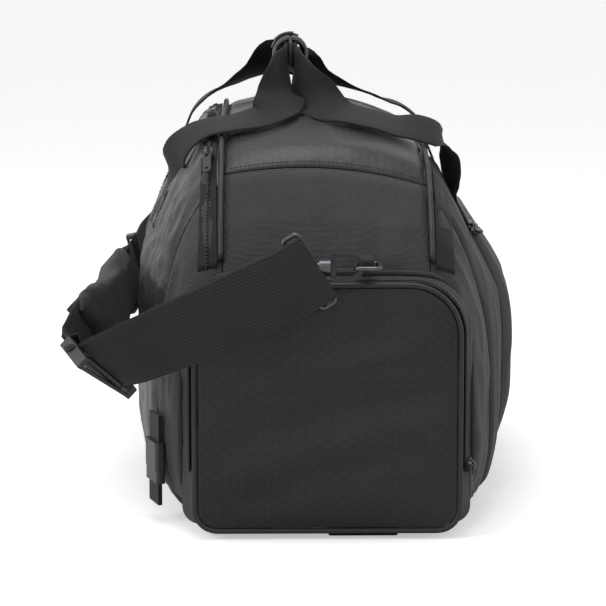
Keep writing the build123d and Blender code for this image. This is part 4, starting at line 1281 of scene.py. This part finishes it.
upper_layer = ribbon("strap_upper_layer", in_metres(near_run, STRAP), LAYER, shift=0.00092, wave=0.0004)
lower_layer = ribbon("strap_lower_layer", in_metres(near_run[2:], STRAP), LAYER, shift=-0.00092, wave=0.0004)
single = ribbon("strap_to_pad", in_metres(to_pad, STRAP), WEBBING, step=0.002)
near_strap = joined("strap_near_webbing", [upper_layer, lower_layer, single, turn_back("near_turn", -1)])
finish_with(near_strap, strap_webbing, "webbing", "strap", "strap_near")
far_layer = ribbon("far_layer", in_metres(far_run, STRAP), WEBBING, wave=0.0006)
far_strap = joined("strap_far_webbing", [far_layer, turn_back("far_turn", 1)])
finish_with(far_strap, strap_webbing, "webbing", "strap", "strap_far")
print("strap:", len(near_strap.data.vertices), "vertices near,", len(far_strap.data.vertices), "far")

# %% [markdown]
# The strap folds round the middle bar of the ladder slider. The bar is a flat ribbed rod, so that
# the webbing grips it. Its rings are squeezed towards both ends, where it enters the frame.

# %% Bar of the ladder slider
BAR_LENGTH, BAR_RINGS, BAR_SIDES, BAR_RIBS = 0.056, 56, 12, 13
fold_at = Vector((-0.1645, -0.2975, 0.1310))
fold_way = Vector((0.64, 0.44, -0.63)).normalized()
side_way = Vector((-0.62, 0.30, -0.42)).normalized()
side_way = (side_way - fold_way * side_way.dot(fold_way)).normalized()
front = fold_way.cross(side_way)
bar_rows = []
for k in range(BAR_RINGS + 1):
    reach = (k / BAR_RINGS - 0.5) * BAR_LENGTH
    ribbed = 0.00022 * math.cos(k / BAR_RINGS * math.pi * 2 * BAR_RIBS) if abs(reach) < 0.025 else 0.0
    squeeze = 1 - smooth(0.0255, 0.0285, abs(reach)) * 0.45
    wide_way, thick_way = side_way * (0.0042 + ribbed) * squeeze, front * (0.0024 + ribbed) * squeeze
    bar_rows.append(circle(fold_at + fold_way * reach, wide_way, thick_way, 1.0, BAR_SIDES))
slider_bar = ring_piece("ladder_slider_bar", bar_rows, [a * 0.0017 for a in range(BAR_SIDES)])
finish_with(slider_bar, gunmetal, "buckle_plastic", "ladder")
print("bar:", len(slider_bar.data.vertices), "vertices")

# %% [markdown]
# Two short ends of webbing stick out from under the base. They are flat ribbons like the strap's,
# and the left one curls up off the floor, so its stations rise.

# %% Stubs under the base
stub_pieces = []
for x, tip in ((-64, 5.0), (26, 1.2)):
    stub_run = [((x, y, z), (1, 0, 0)) for y, z in ((-212, 1.2), (-236, (1.2 + tip) / 2), (-260, tip))]
    stub_pieces.append(ribbon(f"stub_{x}", in_metres(stub_run, STRAP), WEBBING))
stub_piece = joined("base_stub_webbing", stub_pieces)
finish_with(stub_piece, strap_webbing, "webbing", "bag", "base_stubs")
print("stubs:", len(stub_piece.data.vertices), "vertices")

# %% [markdown]
# ## Padding
# The shoulder pad and the two halves of the grip wrap are cloth over foam. Rounding a block by
# hand leaves it stiff. So each block is cut into even faces by a voxel remesh and blown up a
# little by a cloth simulation, and no point may move far from its place.

# %% Blow up a block
def stuffed(name, node, voxel, pressure, cap, material, slot, body, puckers, relax=0, block=None):
    """The block of a node, or a smoother one of the same size, as a padded piece."""
    piece = block
    if piece is None:
        piece = bpy.data.objects.new(name, nodes[node].data.copy())
        scene.collection.objects.link(piece)
        piece.data.materials.clear()
    piece.name = piece.data.name = name
    only(piece)
    even = piece.modifiers.new("even", "REMESH")
    even.mode = "VOXEL"
    even.voxel_size = voxel
    bpy.ops.object.modifier_apply(modifier=even.name)
    if relax:
        eased = piece.modifiers.new("eased", "SMOOTH")
        eased.factor, eased.iterations = 0.5, relax
        bpy.ops.object.modifier_apply(modifier=eased.name)
    rest = [vert.co.copy() for vert in piece.data.vertices]
    cloth = piece.modifiers.new("stuffing", "CLOTH")
    cloth.settings.quality = 6
    cloth.settings.use_pressure = True
    cloth.settings.uniform_pressure_force = pressure
    cloth.settings.effector_weights.gravity = 0
    cloth.settings.tension_stiffness = 25
    cloth.settings.compression_stiffness = 25
    cloth.point_cache.frame_start, cloth.point_cache.frame_end = 1, 20
    for step in range(1, 21):
        scene.frame_set(step)
    soft = piece.evaluated_get(bpy.context.evaluated_depsgraph_get())
    moved = [vert.co.copy() for vert in soft.data.vertices]
    scene.frame_set(1)
    piece.modifiers.remove(cloth)
    for vert, old, new in zip(piece.data.vertices, rest, moved):
        step = new - old
        vert.co = old + step * min(1.0, cap / max(step.length, 1e-9))
    normals = [vert.normal.copy() for vert in piece.data.vertices]
    for vert, normal in zip(piece.data.vertices, normals):
        vert.co += normal * puckers * swell(vert.co, (1, 1, 1), 0.018)
    round_off(piece)
    finish_with(piece, material, slot, body, node)
    return piece


print("padding can be blown up")

# %% [markdown]
# The pad starts from a wide ribbon that follows the strap. The wrap's halves start from the rigid
# parts themselves, with finer voxels, because the slot between them is narrow.

# %% Shoulder pad and grip wrap
pad_cloth = coated_finish("pad_cloth", (0.006, 0.006, 0.007), (0.016, 0.016, 0.018), 0.68, (Y, Z),
                          cell=0.004, press=0.0002, crease=0.0002)
wrap_cloth = woven_finish("wrap_cloth", (0.080, 0.079, 0.077), (0.160, 0.158, 0.154), 0.7, 0.0014, 0.00016)
pad_run = [((-170.5, -264, 146), (0.42, 0.4, -0.81), 50), ((-169, -252, 150), (0.36, 0.25, -0.9), 60),
           ((-165.5, -230, 152.5), (0.3, 0.12, -0.95), 64), ((-162, -190, 152.5), (0.24, 0.04, -0.97), 64),
           ((-160, -150, 151), (0.2, 0, -0.98), 64), ((-160, -60, 149), (0.2, 0, -0.98), 64),
           ((-158, -5, 147.2), (0.2, 0, -0.98), 64), ((-156.5, 27, 145.7), (0.2, 0, -0.98), 60),
           ((-156, 39, 145.1), (0.2, 0, -0.98), 52)]
pad_block = ribbon("pad_block", [(Vector(place) / 1000, Vector(across).normalized(), wide / 1000)
                                 for place, across, wide in pad_run], 0.0095)
pad = stuffed("shoulder_pad_cushion", "shoulder_pad", 0.0045, 4.0, 0.005, pad_cloth, "pad_fabric",
              "strap", 0.0002, relax=14, block=pad_block)
halves = [stuffed(f"grip_wrap_half_{side}", f"grip_wrap_{side}", 0.0014, 2.0, 0.0012, wrap_cloth,
                  "wrap_fabric", f"carry_{side}", 0.0004) for side in ("left", "right")]
print("padding:", len(pad.data.vertices), [len(half.data.vertices) for half in halves], "vertices")

# %% [markdown]
# The side pocket is one coated panel, slack at its mouth and drawn in round its other three
# edges. It is laid on the side as a grid, with a fullness that fades to nothing at those edges, so
# the cloth closes by itself. A row of teeth lies just inside the mouth.

# %% Side pocket
def pocket_place(u, v):
    """From the pocket's foot (u = 0) up to its mouth, full in the middle and flat at its edges."""
    y, z = -0.125 + 0.25 * v, 0.034 + 0.166 * u
    point, out = hit(body_skin, (0.4, y, z), (-1, 0, 0))
    out = out.normalized()
    foot, ends = smooth(0.0, 0.30, u), smooth(0.0, 0.10, min(v, 1 - v))
    full = 0.0088 * foot ** 0.6 * ends ** 0.5 * (0.80 + 0.20 * math.sin(math.pi * v))
    crease = 0.0012 * (ridges(point, (1, 0.8, 1.2), 0.045, 2) - 0.4) + 0.0015 * swell(point, (1, 1, 1), 0.06)
    return point + out * (0.0006 + full + crease * foot * ends)


pocket = grid_piece("side_pocket_cloth", pocket_place, 56, 72)
face_out(pocket, (0, 0, 0.12))
thicken(pocket, THIN_CLOTH)
# The pocket's cloth is painted darker for the shade on the right side.
finish_with(pocket, pocket_cloth, "coated_fabric", "bag", "side_pocket")
across_mouth = [0.02 + 0.96 * k / 60 for k in range(61)]
mouth_points = [(pocket_place(1, v) + pocket_place(0.985, v)) / 2 + Vector((-0.0030, 0, 0.0008))
                for v in across_mouth]
mouth_teeth = teeth("side_zip_teeth", along_line(mouth_points, [UP] * len(mouth_points), TOOTH_PITCH), TOOTH)
finish_with(mouth_teeth, coil_plastic, "zip_coil", "bag", "side_zip")
print("pocket:", len(pocket.data.vertices), "vertices")

# %% [markdown]
# The grip wrap closes with a flap of hook-and-loop tape. The flap lies over the seam on the top,
# and its inner end fills the slot between the two handles. Its layers are short ribbons on arcs
# round the grip's axis, each with its own radius.

# %% Grip flap
GRIP_AXIS = Vector((-0.024, 0, 0.334))


def grip_arc(radius, first, last, count, width):
    """Stations round the grip's axis at y = 0, from the angle first to last from straight up."""
    turns = [math.radians(first + (last - first) * k / count) for k in range(count + 1)]
    return [(GRIP_AXIS + Vector((math.sin(turn), 0, math.cos(turn))) * radius, ALONG, width)
            for turn in turns]


flap = ribbon("grip_flap", grip_arc(0.0152, -70, 24, 12, 0.104), 0.0014, step=0.0015)
lip = ribbon("grip_lip", grip_arc(0.0165, -48, 8, 8, 0.108), 0.0012, step=0.0015)
inner = ribbon("grip_inner", [(GRIP_AXIS + ALONG * y, UP, 0.0262) for y in (-0.0555, 0.0555)], 0.0026)
wrap_flap = joined("grip_wrap_flap", [flap, lip, inner])
finish_with(wrap_flap, wrap_cloth, "wrap_fabric", "carry_left")
print("flap:", len(wrap_flap.data.vertices), "vertices")

# %% [markdown]
# The grip isn't level: its far end hangs 7.5 mm lower. Turning the pieces one by one would part
# them. One smooth rule leans the handles, the wrap and the flap together, so they stay in touch.

# %% Lean the grip
LEAN = 0.0075
for piece in (carry_l, carry_r, *halves, wrap_flap):
    for vert in piece.data.vertices:
        vert.co.z -= LEAN * smooth(-0.060, 0.062, vert.co.y) * smooth(0.285, 0.318, vert.co.z)
print("grip's far end lowered by", LEAN * 1000, "mm")

# %% [markdown]
# Rows of stitches hold the cross seams of the top. Each stitch is a short block of thread. It only
# shows up close, but a row of them makes a seam read as sewn.

# %% Seam stitches
def on_top(skin, half, y, lift, count=60):
    """Points across the top at y, lifted off its cloth."""
    line = []
    for k in range(count + 1):
        point, _ = hit(skin, (2 * half * k / count - half, y, 0.6), (0, 0, -1))
        line.append(point + UP * lift)
    return line


seam_skin = tree_of(piece.data for piece in (top, near_upper, far_upper))
seam_rows = [(on_top(seam_skin, 0.072, y, 0.0002), UP) for y in (-0.1885, -0.1815, 0.1885)]
finish_with(stitches("seam_stitches", seam_rows), thread, "webbing", "bag")
print("seams:", len(seam_rows), "rows")

# %% [markdown]
# ## Everything else
# Sliders, hooks, rings and buckles are rigid, so modelling them again would only lose their true
# shape. The model's own parts stay, and they only need a finish.

# %% Finishes of the rigid parts
def dress(material, slot, *names):
    """Give rigid parts of the model a finish."""
    for name in names:
        part = nodes[name]
        part.data.materials.clear()
        part.data.materials.append(material)


slider_metal = plain_finish("slider_metal", (0.055, 0.055, 0.058), (0.12, 0.12, 0.125),
                            0.4, 500.0, 0.00002, metal=0.9)
dress(slider_metal, "slider_metal", "main_slider_a", "main_slider_b", "end_slider", "side_slider_a",
      "side_slider_b")
dress(moulded, "pull_tab", "main_pull_a", "main_pull_b", "side_pull_a", "side_pull_b")
dress(rubber_tab, "pull_tab", "end_pull")
dress(bright_wire, "bright_metal", "d_ring_near", "d_ring_far", "strap_loop_near", "strap_loop_far")
dress(gunmetal, "dark_metal", "hook_near", "hook_far", "gate_near", "gate_far")
dress(moulded, "buckle_plastic", "ladder_slider", "strap_keeper", "buckle_socket", "buckle_plug")
dress(handle_webbing, "webbing", "ring_tabs", "buckle_web_upper", "buckle_web_lower")
dress(lining, "board", "base_board")
left_over = [name for name, part in nodes.items() if not part.hide_render and not part.data.materials]
print("parts without a finish:", left_over)
